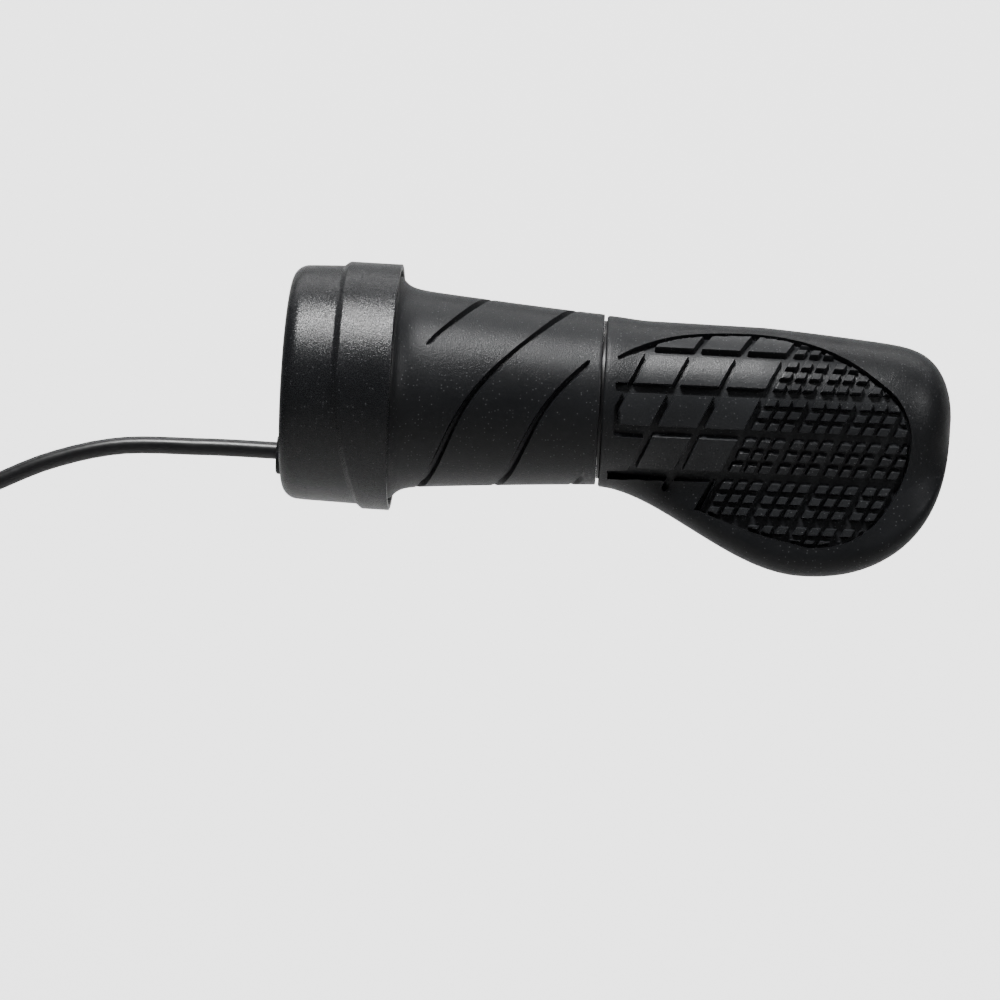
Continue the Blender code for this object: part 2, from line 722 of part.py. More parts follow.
def plug(plastic, rubber, brass, seal_rubber):
    """The waterproof three-way connector that hangs from the cable's end, mating end down."""
    place = (PLUG_X, 0, PLUG_TOP)
    boot = [
        (0.0, 0),
        (0.0, 2.5 * MM),
        (-7.0 * MM, 3.6 * MM),
        (-8.0 * MM, 3.6 * MM),
        (-8.0 * MM, 0),
    ]
    turned("plug_boot", boot, rubber, segments=20, axis="Z", place=place)
    body = [
        (-8.3 * MM, 0),
        (-8.3 * MM, 4.0 * MM),
        (-8.8 * MM, 4.4 * MM),
        (-15.0 * MM, 4.4 * MM),
        (-15.0 * MM, 3.5 * MM),
        (-24.4 * MM, 3.5 * MM),
        (-25.0 * MM, 3.1 * MM),
        (-25.0 * MM, 0),
    ]
    plug_body = turned("plug_body", body, plastic, segments=24, axis="Z", place=place)
    for number in (1, 2, 3):
        turn = radians(90 + 120 * number)
        x = 1.6 * MM * cos(turn)
        y = 1.6 * MM * sin(turn)
        hole = rod(
            f"contact_hole_{number}", -30 * MM, -19 * MM, 0.8 * MM, segments=10, axis="Z", place=(x, y, 0)
        )
        cut(plug_body, hole)
        seat = (PLUG_X + x, y, PLUG_TOP)
        ends = (-24.0 * MM, -19.3 * MM)
        rod(f"plug_contact_{number}", *ends, 0.5 * MM, brass, segments=10, axis="Z", place=seat)
    nut = [
        (-15.3 * MM, 3.8 * MM),
        (-15.3 * MM, 4.7 * MM),
        (-15.8 * MM, 5.0 * MM),
        (-20.6 * MM, 5.0 * MM),
        (-21.0 * MM, 4.7 * MM),
        (-21.0 * MM, 3.8 * MM),
    ]
    turned("plug_ring", nut, plastic, segments=24, axis="Z", place=place)
    seal = []
    for k in range(8):
        turn = 2 * pi * k / 8
        seal.append((-22.4 * MM + 0.5 * MM * cos(turn), 4.3 * MM + 0.5 * MM * sin(turn)))
    turned("plug_seal", seal, seal_rubber, segments=24, axis="Z", place=place)


def build_all():
    clear_scene()
    plastic = material("black plastic", (0.030, 0.031, 0.034), 0.42)
    inner_plastic = material("inner plastic", (0.055, 0.056, 0.060), 0.55)
    rubber = material("grip rubber", (0.026, 0.027, 0.029), 0.58)
    sheath = material("cable sheath", (0.018, 0.018, 0.019), 0.40)
    steel = material("zinc steel", (0.62, 0.61, 0.58), 0.32, 1.0)
    spring_steel = material("spring steel", (0.36, 0.35, 0.34), 0.28, 1.0)
    nickel = material("magnet nickel", (0.55, 0.54, 0.52), 0.22, 1.0)
    brass = material("contact brass", (0.78, 0.58, 0.26), 0.28, 1.0)
    washer = material("natural nylon", (0.72, 0.70, 0.62), 0.50)
    board = material("board green", (0.02, 0.16, 0.07), 0.38)
    resin = material("sensor resin", (0.02, 0.02, 0.02), 0.45)
    red = material("wire red", (0.55, 0.02, 0.02), 0.40)
    black = material("wire black", (0.02, 0.02, 0.02), 0.40)
    green = material("wire green", (0.02, 0.30, 0.06), 0.40)

    housing_shell(plastic)
    mounting_hub(inner_plastic)
    cover_screws(steel)
    clamp_screw(steel)
    cable_gland(rubber)
    cord_saddle(inner_plastic)
    saddle_screws(steel)
    sensor_parts(board, resin, steel)
    sensor_wires((("wire_red", red), ("wire_black", black), ("wire_green", green)))
    return_spring(spring_steel)

    sleeve_core(inner_plastic)
    magnets(nickel)
    twist_rubber(rubber)
    ring("thrust_washer", 63.0 * MM, 63.4 * MM, 12.7 * MM, 14.4 * MM, washer, segments=32)
    ring("retaining_ring", 63.7 * MM, 64.3 * MM, 12.1 * MM, 13.9 * MM, spring_steel, segments=32)
    ring("seam_washer", 65.4 * MM, 65.8 * MM, 12.8 * MM, 16.0 * MM, plastic, segments=32)
    ring("grip_core", PALM_START + 0.4 * MM, 126.2 * MM, BORE_RADIUS, PALM_CORE_RADIUS, inner_plastic)
    palm_grip(rubber)
    cord_parts(sheath, plastic, plastic, rubber, brass, rubber)

    axis_empty = bpy.data.objects.new("sleeve_axis", None)
    bpy.context.scene.collection.objects.link(axis_empty)
    for name in ("sleeve_core", "magnet_north", "magnet_south", "twist_rubber"):
        bpy.data.objects[name].parent = axis_empty


build_all()
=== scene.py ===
# %% [markdown]
# # A half-twist throttle grip
# The solid parts were modelled and packed first, at real size: a housing, a turning rubber sleeve, a fixed
# palm grip and a thin lead with its plug. This lesson loads them as a frame, then gives each visible piece
# a fine mesh and a finish. The origin is on the handlebar's axis, +X runs outboard, and -Y faces the
# camera.

from math import atan2, cos, exp, hypot, log1p, pi, radians, sin

import bmesh
import bpy
from mathutils import Matrix, Vector
from mathutils.bvhtree import BVHTree


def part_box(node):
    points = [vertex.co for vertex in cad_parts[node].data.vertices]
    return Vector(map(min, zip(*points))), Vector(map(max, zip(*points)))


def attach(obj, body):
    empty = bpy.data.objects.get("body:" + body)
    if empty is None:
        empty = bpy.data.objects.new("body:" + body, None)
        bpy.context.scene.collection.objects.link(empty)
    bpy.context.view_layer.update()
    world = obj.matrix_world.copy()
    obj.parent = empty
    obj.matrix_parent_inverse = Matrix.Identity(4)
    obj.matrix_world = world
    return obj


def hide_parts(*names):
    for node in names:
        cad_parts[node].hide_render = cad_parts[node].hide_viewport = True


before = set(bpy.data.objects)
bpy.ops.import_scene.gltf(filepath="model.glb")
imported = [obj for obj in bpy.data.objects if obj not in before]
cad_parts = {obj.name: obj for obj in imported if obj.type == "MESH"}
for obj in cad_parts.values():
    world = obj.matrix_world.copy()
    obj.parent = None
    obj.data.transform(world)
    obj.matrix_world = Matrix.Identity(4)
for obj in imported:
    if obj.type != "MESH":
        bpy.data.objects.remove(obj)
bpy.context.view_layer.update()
MM = 0.001
HOUSING = "housing"
SLEEVE = "twist_sleeve"

# %% [markdown]
# ## Camera
# The camera stands square to the bar, a little below its axis, and is rolled slightly, so that the bar runs
# gently downhill to the right. A long lens keeps the housing's rims nearly straight. It is placed before
# the pieces, because the lead's coil has to lie just outside its view.

# %% Camera
CAMERA_DISTANCE = 0.810
CAMERA_ROLL = radians(3.4)
lens_data = bpy.data.cameras.new("camera")
lens_data.lens = 139.5
lens_data.sensor_width = 36.0
lens_data.shift_x = -0.097
lens_data.clip_start = 0.05
lens_data.clip_end = 20.0
camera = bpy.data.objects.new("camera", lens_data)
bpy.context.scene.collection.objects.link(camera)
camera.matrix_world = (
    Matrix.Translation((65.8 * MM, -CAMERA_DISTANCE, -21.0 * MM))
    @ Matrix.Rotation(pi / 2, 4, "X")
    @ Matrix.Rotation(CAMERA_ROLL, 4, "Z")
)
bpy.context.scene.camera = camera
print("camera at", [round(c, 3) for c in camera.location])


# %% [markdown]
# ## Small helpers for modelling by hand
# Each piece starts from an outline or a primitive, and is shaped with the same operators that the menus
# hold. `use` makes one object active and selects only it, because an operator works on all that is
# selected.

# %% Selecting and settling
def deselect_all():
    if bpy.context.object and bpy.context.object.mode != "OBJECT":
        bpy.ops.object.mode_set(mode="OBJECT")
    bpy.ops.object.select_all(action="DESELECT")


def use(piece):
    deselect_all()
    piece.select_set(True)
    bpy.context.view_layer.objects.active = piece


def named(name):
    """The object that the last operator made, under its own name."""
    piece = bpy.context.object
    piece.name = name
    piece.data.name = name
    return piece


def edit_all(piece):
    use(piece)
    bpy.ops.object.mode_set(mode="EDIT")
    bpy.ops.mesh.select_all(action="SELECT")


def settle(piece):
    """Puts the object's place into its mesh."""
    use(piece)
    bpy.ops.object.transform_apply(location=True, rotation=True, scale=True)
    return piece


def smooth(piece, angle=40):
    use(piece)
    bpy.ops.object.shade_smooth_by_angle(angle=radians(angle))
    return piece


def clean(piece, distance=0.000002):
    edit_all(piece)
    bpy.ops.mesh.remove_doubles(threshold=distance)
    bpy.ops.mesh.normals_make_consistent(inside=False)
    bpy.ops.object.mode_set(mode="OBJECT")
    return piece


# %% [markdown]
# Most pieces here are turned: the casing, the sleeve, the screws and the plug. `outline` makes the chain of
# edges, `arc` gives it a fillet, and `spun` turns it round an axis with the Spin tool and merges the seam.

# %% Turned pieces
def outline(name, points, closed=True):
    """A chain of edges to spin or to fill."""
    mesh = bpy.data.meshes.new(name)
    edges = [(i, i + 1) for i in range(len(points) - 1)]
    if closed:
        edges.append((len(points) - 1, 0))
    mesh.from_pydata(points, edges, [])
    piece = bpy.data.objects.new(name, mesh)
    bpy.context.scene.collection.objects.link(piece)
    return piece


def spun(name, profile, steps=128, axis="X", centre=(0, 0, 0), closed=True):
    """Turns (along, radius) points about an axis, then merges the seam."""
    along = {"X": Vector((1, 0, 0)), "Y": Vector((0, 1, 0)), "Z": Vector((0, 0, 1))}[axis]
    out = {"X": Vector((0, 1, 0)), "Y": Vector((0, 0, 1)), "Z": Vector((1, 0, 0))}[axis]
    place = Vector(centre)
    piece = outline(name, [place + along * a + out * r for a, r in profile], closed)
    edit_all(piece)
    bpy.ops.mesh.spin(steps=steps, angle=2 * pi, center=centre, axis=along)
    bpy.ops.object.mode_set(mode="OBJECT")
    return clean(piece)


def arc(cx, cr, radius, start, end, steps=6):
    """Points of a fillet in an (along, radius) outline, between two angles in degrees."""
    points = []
    for k in range(steps + 1):
        turn = radians(start + (end - start) * k / steps)
        points.append((cx + radius * cos(turn), cr + radius * sin(turn)))
    return points


# %% [markdown]
# Holes and recesses are cut with the Boolean modifier, which is applied at once. Its exact solver keeps
# thin walls whole. The cutter is most often a cylinder, so `rod` makes one along an axis.

# %% Cylinders and cuts
def rod(name, start, end, radius, axis="X", place=(0, 0, 0), vertices=32):
    """A cylinder from start to end along an axis, offset by place."""
    turn = {"X": (0, pi / 2, 0), "Y": (pi / 2, 0, 0), "Z": (0, 0, 0)}[axis]
    middle = Vector(place)
    middle["XYZ".index(axis)] += (start + end) / 2
    deselect_all()
    bpy.ops.mesh.primitive_cylinder_add(
        vertices=vertices, radius=radius, depth=abs(end - start), location=middle, rotation=turn
    )
    return settle(named(name))


def boolean(piece, tool, operation="DIFFERENCE"):
    """Cuts or joins, applies the result and removes the tool."""
    use(piece)
    step = piece.modifiers.new("boolean", "BOOLEAN")
    step.operation = operation
    step.object = tool
    step.solver = "EXACT"
    bpy.ops.object.modifier_apply(modifier=step.name)
    bpy.data.objects.remove(tool, do_unlink=True)
    return piece


# %% [markdown]
# ## Finishes
# Everything on the grip is black, so the finishes differ in gloss and grain. The housing is satin nylon
# from a spark-eroded mould: its fine pits catch the light as tiny bright points, which are painted into the
# colour as painted glints. The rubber has the same grain but is duller. Both get a broad, faint unevenness,
# stray dust, painted glints, and a grain made from two scales of noise that feeds both the bump and the
# roughness.

# %% Material helpers
def node_material(name):
    made = bpy.data.materials.new(name)
    made.use_nodes = True
    return made, made.node_tree, made.node_tree.nodes["Principled BSDF"]


def noise(tree, scale, detail=2.0, roughness=0.5, stretch=None):
    """A noise texture on Object coordinates, in features per metre."""
    where = tree.nodes.new("ShaderNodeTexCoord")
    texture = tree.nodes.new("ShaderNodeTexNoise")
    texture.inputs["Scale"].default_value = scale
    texture.inputs["Detail"].default_value = detail
    texture.inputs["Roughness"].default_value = roughness
    source = where.outputs["Object"]
    if stretch:
        mapping = tree.nodes.new("ShaderNodeMapping")
        mapping.inputs["Scale"].default_value = stretch
        tree.links.new(source, mapping.inputs["Vector"])
        source = mapping.outputs["Vector"]
    tree.links.new(source, texture.inputs["Vector"])
    return texture.outputs["Fac"]


def remap(tree, value, low, high, to_low, to_high):
    node = tree.nodes.new("ShaderNodeMapRange")
    node.inputs["From Min"].default_value = low
    node.inputs["From Max"].default_value = high
    node.inputs["To Min"].default_value = to_low
    node.inputs["To Max"].default_value = to_high
    tree.links.new(value, node.inputs["Value"])
    return node.outputs["Result"]


def combine(tree, operation, first, second):
    node = tree.nodes.new("ShaderNodeMath")
    node.operation = operation
    for socket, value in zip(node.inputs, (first, second)):
        if isinstance(value, (int, float)):
            socket.default_value = value
        else:
            tree.links.new(value, socket)
    return node.outputs["Value"]


def blend_colours(tree, factor, first, second):
    node = tree.nodes.new("ShaderNodeMix")
    node.data_type = "RGBA"
    tree.links.new(factor, node.inputs["Factor"])
    for socket, value in zip((node.inputs["A"], node.inputs["B"]), (first, second)):
        if isinstance(value, tuple):
            socket.default_value = (*value, 1.0)
        else:
            tree.links.new(value, socket)
    return node.outputs["Result"]


def bump(tree, shader, height, strength, distance):
    node = tree.nodes.new("ShaderNodeBump")
    node.inputs["Strength"].default_value = strength
    node.inputs["Distance"].default_value = distance
    tree.links.new(height, node.inputs["Height"])
    tree.links.new(node.outputs["Normal"], shader.inputs["Normal"])


# %% [markdown]
# The moulded finish has two layers of specks from a Voronoi texture. The tiny close ones are painted
# glints: light painted into the colour in place of the sparkle of the mould's pits. The rare larger ones
# are stray dust. Both only lighten the base colour a little.

# %% Moulded finish
def dust_and_glint_mask(tree, spacing, size):
    """Scattered specks: the centres of some cells of a Voronoi texture."""
    where = tree.nodes.new("ShaderNodeTexCoord")
    cells = tree.nodes.new("ShaderNodeTexVoronoi")
    cells.inputs["Scale"].default_value = 1 / spacing
    tree.links.new(where.outputs["Object"], cells.inputs["Vector"])
    speck = remap(tree, cells.outputs["Distance"], size / spacing, 0.6 * size / spacing, 0.0, 1.0)
    chosen = tree.nodes.new("ShaderNodeSeparateColor")
    tree.links.new(cells.outputs["Color"], chosen.inputs["Color"])
    rare = combine(tree, "GREATER_THAN", chosen.outputs["Red"], 0.72)
    return combine(tree, "MULTIPLY", speck, rare)


def moulded(name, colour, roughness, grain_scale, grain, dust=0.5, specular=0.5):
    """A black moulded surface with fine grain, broad unevenness, painted glints and a little dust."""
    made, tree, shader = node_material(name)
    shader.inputs["Specular IOR Level"].default_value = specular
    fine = noise(tree, grain_scale, detail=1.0)
    coarse = noise(tree, grain_scale * 0.36, detail=2.0)
    broad = noise(tree, 45.0, detail=3.0)
    height = combine(tree, "ADD", fine, combine(tree, "MULTIPLY", coarse, 0.6))
    bump(tree, shader, height, grain, 0.00006)
    rough = remap(tree, fine, 0.3, 0.7, roughness - 0.09, roughness + 0.07)
    rough = combine(tree, "ADD", rough, remap(tree, broad, 0.3, 0.7, -0.04, 0.05))
    tree.links.new(rough, shader.inputs["Roughness"])
    lighter = tuple(min(1.0, 1.5 * c) for c in colour)
    shade = blend_colours(tree, remap(tree, broad, 0.35, 0.7, 0.0, 1.0), colour, lighter)
    # Painted glints: tiny light specks in the base colour stand in for light sparkling off the mould's pits.
    painted_glints = combine(tree, "MULTIPLY", dust_and_glint_mask(tree, 0.00062, 0.00017), 0.10)
    shade = blend_colours(tree, painted_glints, shade, (0.55, 0.56, 0.58))
    speck = combine(tree, "MULTIPLY", dust_and_glint_mask(tree, 0.0052, 0.00022), dust)
    shade = blend_colours(tree, speck, shade, (0.45, 0.45, 0.44))
    tree.links.new(shade, shader.inputs["Base Color"])
    return made


# %% [markdown]
# The metals, the nylon parts and the cable's sheath are plainer: one noise varies their tone, gloss and
# surface.

# %% Plain finish
def plain_finish(name, colour, roughness, metallic=0.0, grain_scale=900.0, spread=0.05, lines=None):
    """Metal, nylon or cable sheath: a slight unevenness in tone, gloss and surface."""
    made, tree, shader = node_material(name)
    shader.inputs["Metallic"].default_value = metallic
    uneven = noise(tree, grain_scale, detail=3.0, stretch=lines)
    darker = tuple(0.82 * c for c in colour)
    shade = blend_colours(tree, remap(tree, uneven, 0.3, 0.7, 0.0, 1.0), darker, colour)
    rough = remap(tree, uneven, 0.3, 0.7, roughness - spread, roughness + spread)
    tree.links.new(shade, shader.inputs["Base Color"])
    tree.links.new(rough, shader.inputs["Roughness"])
    bump(tree, shader, uneven, 0.12, 0.00005)
    return made


# %% [markdown]
# Each finish is made once and named for what it is. The housing is glossier than the two rubbers. The pad's
# copy of the rubber is painted a little paler: painted light that lifts its shaded blocks, so that they stand
# out from the skin round them.

# %% Materials
housing_nylon = moulded("housing nylon", (0.0085, 0.0090, 0.0100), 0.27, 5200, 1.0, dust=0.20, specular=0.40)
sleeve_finish = moulded("sleeve rubber", (0.0080, 0.0085, 0.0095), 0.38, 5000, 1.0, dust=0.25, specular=0.29)
palm_finish = moulded("palm rubber", (0.0080, 0.0085, 0.0095), 0.38, 5000, 0.9, dust=0.35, specular=0.29)
# The pad's rubber is painted paler than the palm's: painted light against the shade on its sunken blocks.
pad_finish_painted_lighter = moulded("pad rubber painted lighter", (0.0150, 0.0158, 0.0172), 0.40, 4600, 0.6, dust=0.5, specular=0.34)
sheath_finish = plain_finish("cable sheath", (0.012, 0.012, 0.013), 0.36)
inner_nylon = plain_finish("inner nylon", (0.045, 0.046, 0.050), 0.55, grain_scale=1500.0)
zinc = plain_finish("zinc plate", (0.62, 0.61, 0.57), 0.30, metallic=1.0)
oiled_steel = plain_finish("oiled steel", (0.34, 0.33, 0.32), 0.30, metallic=1.0)
nickel = plain_finish("nickel", (0.58, 0.56, 0.53), 0.22, metallic=1.0, spread=0.03)
brass = plain_finish("brass", (0.78, 0.57, 0.25), 0.26, metallic=1.0)
white_nylon = plain_finish("natural nylon", (0.70, 0.68, 0.60), 0.48)
board_mask = plain_finish("solder mask", (0.015, 0.13, 0.05), 0.35)
resin = plain_finish("sensor resin", (0.015, 0.015, 0.016), 0.50)
red_seal = plain_finish("silicone", (0.20, 0.03, 0.02), 0.45)
red_pvc = plain_finish("red insulation", (0.50, 0.02, 0.02), 0.38)
black_pvc = plain_finish("black insulation", (0.015, 0.015, 0.015), 0.38)
green_pvc = plain_finish("green insulation", (0.02, 0.26, 0.05), 0.38)
print("materials:", len(bpy.data.materials))


def finish_with(piece, surface, body, slot, *nodes):
    """Gives a piece its material and its body, and hides the solids that it stands for; the slot is not used.
    """
    piece.data.materials.clear()
    piece.data.materials.append(surface)
    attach(piece, body)
    if nodes:
        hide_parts(*nodes)
    print(piece.name, "has", len(piece.data.vertices), "points")
    return piece


# %% [markdown]
# ## The lead
# A thin three-core lead leaves the housing just under the bar. It runs nearly level, sags, and its spare
# length is tied in a coil of two turns, with a waterproof plug on its end. A curve with a round bevel is
# the right tool: the points of the free stretch are listed. In the coil, two turns lie side by
# side. The first crosses to the far side as it comes round, and the last quarter turn rides over both
# before it hangs down to the plug.

# %% Lead
CORD_RADIUS = 1.8 * MM
CORD_DROP = 14.65 * MM
GLAND_FACE = -1.6 * MM
coil_low, coil_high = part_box("cable_coil")
COIL_CENTRE = (Vector(coil_low) + Vector(coil_high)) / 2
STRAND_RADIUS = 18.7 * MM
COIL_TURNS = 2.25
POINT_SPACING = 3.2 * MM
boot_low, boot_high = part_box("plug_boot")
PLUG_AXIS = Vector(((boot_low[0] + boot_high[0]) / 2, 0, 0))


def smoothstep(t):
    t = min(1.0, max(0.0, t))
    return t * t * (3 - 2 * t)


def smooth_path(points, spacing):
    """Evenly spaced points of a Catmull-Rom curve through the given ones."""
    points = [Vector(p) for p in points]
    ends = [2 * points[0] - points[1], *points, 2 * points[-1] - points[-2]]
    fine = []
    for a, b, c, d in zip(ends, ends[1:], ends[2:], ends[3:]):
        for k in range(24):
            t = k / 24
            bend = (2 * a - 5 * b + 4 * c - d) * t**2
            twist = (3 * b - a - 3 * c + d) * t**3
            fine.append(0.5 * (2 * b + (c - a) * t + bend + twist))
    fine.append(points[-1])
    kept = [fine[0]]
    for point in fine:
        if (point - kept[-1]).length >= spacing:
            kept.append(point)
    kept[-1] = fine[-1]
    return kept


free_run = [
    (GLAND_FACE, 0, -CORD_DROP), (-10.0 * MM, 0, -14.65 * MM), (-18.0 * MM, 0, -14.8 * MM),
    (-34.5 * MM, 0, -15.6 * MM), (-49.0 * MM, 0, -19.6 * MM), (-62.0 * MM, -0.2 * MM, -25.8 * MM),
    (-71.0 * MM, -0.8 * MM, -29.7 * MM), (-77.6 * MM, -2.0 * MM, -31.9 * MM),
    (-84.5 * MM, -3.2 * MM, -31.8 * MM),
]
COIL_STEPS = 80
coil_run = []
for k in range(COIL_STEPS + 1):
    turned = COIL_TURNS * k / COIL_STEPS
    turn = radians(90 + 360 * turned)
    shift = -1.95 + 3.9 * smoothstep((turned - 0.86) / 0.14) - 1.95 * smoothstep((turned - 1.86) / 0.14)
    reach = STRAND_RADIUS + 3.7 * MM * smoothstep((turned - 1.66) / 0.2) + 0.5 * MM * exp(-turned * 25)
    shift -= 0.35 * exp(-turned * 25)
    coil_run.append(COIL_CENTRE + Vector((reach * cos(turn), shift * MM, reach * sin(turn))))
tail_run = [
    (PLUG_AXIS.x - 0.7 * MM, 0, -58.0 * MM), (PLUG_AXIS.x - 0.3 * MM, 0, -65.5 * MM),
    (PLUG_AXIS.x - 0.05 * MM, 0, -72.0 * MM), (PLUG_AXIS.x, 0, boot_high[2] - 0.2 * MM),
]
lead_points = smooth_path([*free_run, *coil_run, *tail_run], POINT_SPACING)
lead_curve = bpy.data.curves.new("lead", "CURVE")
lead_curve.dimensions = "3D"
lead_curve.bevel_depth = CORD_RADIUS
lead_curve.bevel_resolution = 6
lead_curve.use_fill_caps = True
spline = lead_curve.splines.new("POLY")
spline.points.add(len(lead_points) - 1)
for vertex, place in zip(spline.points, lead_points):
    vertex.co = (*place, 1.0)
spline.use_smooth = True
lead = bpy.data.objects.new("lead", lead_curve)
bpy.context.scene.collection.objects.link(lead)
lead.data.materials.append(sheath_finish)
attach(lead, HOUSING)
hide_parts("cable", "cable_coil", "cable_tail")

# %% [markdown]
# ## Housing
# The casing is a cup turned round the bar's axis: a closed inboard wall, a rounded corner, a step up to the
# wider flange ring, and a thin lip that shades the running gap. Its outline is spun once. The step isn't
# square to the bar: it swings outboard round the bottom, so after spinning, the rings between the corner
# and the lip are slid along X by an amount that depends on their angle.

# %% Housing
HOUSING_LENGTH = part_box("housing_shell")[1][0]
CASE_RADIUS = 24.75 * MM
CORNER = 3.3 * MM
FLANGE_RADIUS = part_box("housing_shell")[1][2]
STEP_SHIFT = 5.2 * MM


def step_shift(y, z):
    """How far outboard of its place at the top the step is, at this point's angle."""
    from_bottom = abs((atan2(z, y) + pi / 2 + pi) % (2 * pi) - pi)
    if from_bottom >= radians(100):
        return 0.0
    return STEP_SHIFT * 0.5 * (1 + cos(1.8 * from_bottom))


casing_profile = [(0.0, 11.45 * MM), (0.0, 15 * MM)]
casing_profile += arc(CORNER, CASE_RADIUS - 0.3 * MM - CORNER, CORNER, 180, 91, 14)
casing_profile += [(x * MM, CASE_RADIUS - 0.045 * MM * (9.4 - x)) for x in (4.5, 5.5, 6.5, 7.5, 8.5, 9.4)]
for k in range(11):
    share = k / 10
    rise = FLANGE_RADIUS - 0.04 * MM - CASE_RADIUS
    casing_profile.append(((10.2 + 1.7 * share) * MM, CASE_RADIUS + rise * smoothstep(share)))
casing_profile += [(x * MM, FLANGE_RADIUS - 0.04 * MM) for x in (13.2, 14.5, 16.0, 18.0, 20.0, 21.5)]
casing_profile += arc(HOUSING_LENGTH - 0.22 * MM, FLANGE_RADIUS - 0.22 * MM, 0.22 * MM, 90, 0, 4)
casing_profile += arc(HOUSING_LENGTH - 0.15 * MM, FLANGE_RADIUS - 1.05 * MM, 0.15 * MM, 0, -90, 3)
casing_profile += [(20.5 * MM, FLANGE_RADIUS - 1.24 * MM), (13.4 * MM, FLANGE_RADIUS - 1.4 * MM)]
casing_profile += [(12.0 * MM, 22.4 * MM), (4.1 * MM, 22.3 * MM), (2.6 * MM, 20.8 * MM)]
casing_profile += [(2.6 * MM, 11.45 * MM)]
casing = spun("housing_casing", casing_profile, steps=220)
for vertex in casing.data.vertices:
    x = vertex.co.x
    outside = hypot(vertex.co.y, vertex.co.z) > 22.35 * MM
    if outside and x > 5.0 * MM:
        rise = min(1.0, (x - 5.0 * MM) / (4.4 * MM))
        fall = min(1.0, max(0.0, (21.6 * MM - x) / (8.0 * MM)))
        vertex.co.x += step_shift(vertex.co.y, vertex.co.z) * min(rise, fall)
for number in (1, 2, 3, 4):
    low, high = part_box(f"cover_screw_{number}")
    seat = (0, (low[1] + high[1]) / 2, (low[2] + high[2]) / 2)
    boolean(casing, rod("seat", -MM, 1.4 * MM, 2.75 * MM, place=seat, vertices=40))
    boolean(casing, rod("shank_hole", 1.0 * MM, 4.0 * MM, 1.6 * MM, place=seat, vertices=32))
clamp_low, clamp_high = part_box("clamp_screw")
CLAMP_X = (clamp_low[0] + clamp_high[0]) / 2
boolean(casing, rod("clamp_hole", 20 * MM, 28 * MM, 2.5 * MM, axis="Y", place=(CLAMP_X, 0, 0), vertices=48))
boolean(casing, rod("gland_hole", -MM, 4 * MM, 2.85 * MM, place=(0, 0, -CORD_DROP), vertices=46))
smooth(casing, 32)
finish_with(casing, housing_nylon, HOUSING, "black_plastic", "housing_shell")

# %% [markdown]
# The screws on the inboard face are pan heads with a cross recess: a turned head, cut by two crossed bars.
# The grub screw at the back has a hex socket, which is a six-sided cylinder taken out of its end.

# %% Screws
for number in (1, 2, 3, 4):
    low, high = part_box(f"cover_screw_{number}")
    seat = (0, (low[1] + high[1]) / 2, (low[2] + high[2]) / 2)
    head = [(0.1 * MM, 0.0), (0.12 * MM, 1.2 * MM), (0.25 * MM, 1.75 * MM), (0.5 * MM, 2.2 * MM)]
    head += [(0.7 * MM, 2.3 * MM), (1.1 * MM, 2.3 * MM)]
    head += [(1.1 * MM, 1.0 * MM), (8.4 * MM, 1.0 * MM), (8.4 * MM, 0.0)]
    screw = spun(f"cover_screw_head_{number}", head, steps=40, centre=seat, closed=False)
    for turned_by in (0, pi / 2):
        deselect_all()
        bpy.ops.mesh.primitive_cube_add(size=1, location=seat, rotation=(turned_by + 0.4 * number, 0, 0))
        bar = named("recess")
        bar.scale = (1.5 * MM, 0.5 * MM, 2.5 * MM)
        boolean(screw, settle(bar))
    smooth(screw, 35)
    finish_with(screw, zinc, HOUSING, "zinc_steel", f"cover_screw_{number}")
grub_profile = [(clamp_low[1], 0.0), (clamp_low[1], 1.5 * MM), (clamp_low[1] + 0.5 * MM, 1.95 * MM)]
grub_profile += [(clamp_high[1] - 0.3 * MM, 1.95 * MM), (clamp_high[1], 1.65 * MM), (clamp_high[1], 0.0)]
grub = spun("grub_screw", grub_profile, steps=40, axis="Y", centre=(CLAMP_X, 0, 0), closed=False)
hex_socket = rod("hex", clamp_high[1] - 2.5 * MM, clamp_high[1] + MM, 1.15 * MM, "Y", (CLAMP_X, 0, 0), 6)
boolean(grub, hex_socket)
smooth(grub, 30)
finish_with(grub, oiled_steel, HOUSING, "zinc_steel", "clamp_screw")

# %% [markdown]
# The rubber boss that the lead leaves through is an oval button. It starts as a cylinder, is scaled to an
# oval, its outer rim is bevelled round, and the lead's hole is cut through it.

# %% Gland
gland_low, gland_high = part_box("cable_gland")
gland_z = (gland_low[2] + gland_high[2]) / 2
deselect_all()
bpy.ops.mesh.primitive_cylinder_add(
    vertices=64, radius=1.0, depth=1.3 * MM, location=(-0.95 * MM, 0, gland_z), rotation=(0, pi / 2, 0)
)
gland = named("lead_boss")
gland.scale = ((gland_high[2] - gland_low[2]) / 2, (gland_high[1] - gland_low[1]) / 2, 1)
settle(gland)
edit_all(gland)
bpy.ops.mesh.select_all(action="DESELECT")
bpy.ops.object.mode_set(mode="OBJECT")
for edge in gland.data.edges:
    ends = [gland.data.vertices[i].co for i in edge.vertices]
    edge.select = all(end.x < -1.5 * MM for end in ends)
bpy.ops.object.mode_set(mode="EDIT")
bpy.ops.mesh.select_mode(type="EDGE")
bpy.ops.mesh.bevel(offset=0.6 * MM, segments=6, affect="EDGES")
bpy.ops.object.mode_set(mode="OBJECT")
boolean(gland, rod("neck", -0.8 * MM, 2.6 * MM, 2.5 * MM, place=(0, 0, -CORD_DROP), vertices=48), "UNION")
boolean(gland, rod("lead_hole", -6 * MM, 5 * MM, 1.95 * MM, place=(0, 0, -CORD_DROP), vertices=40))
smooth(gland, 35)
finish_with(gland, palm_finish, HOUSING, "grip_rubber", "cable_gland")

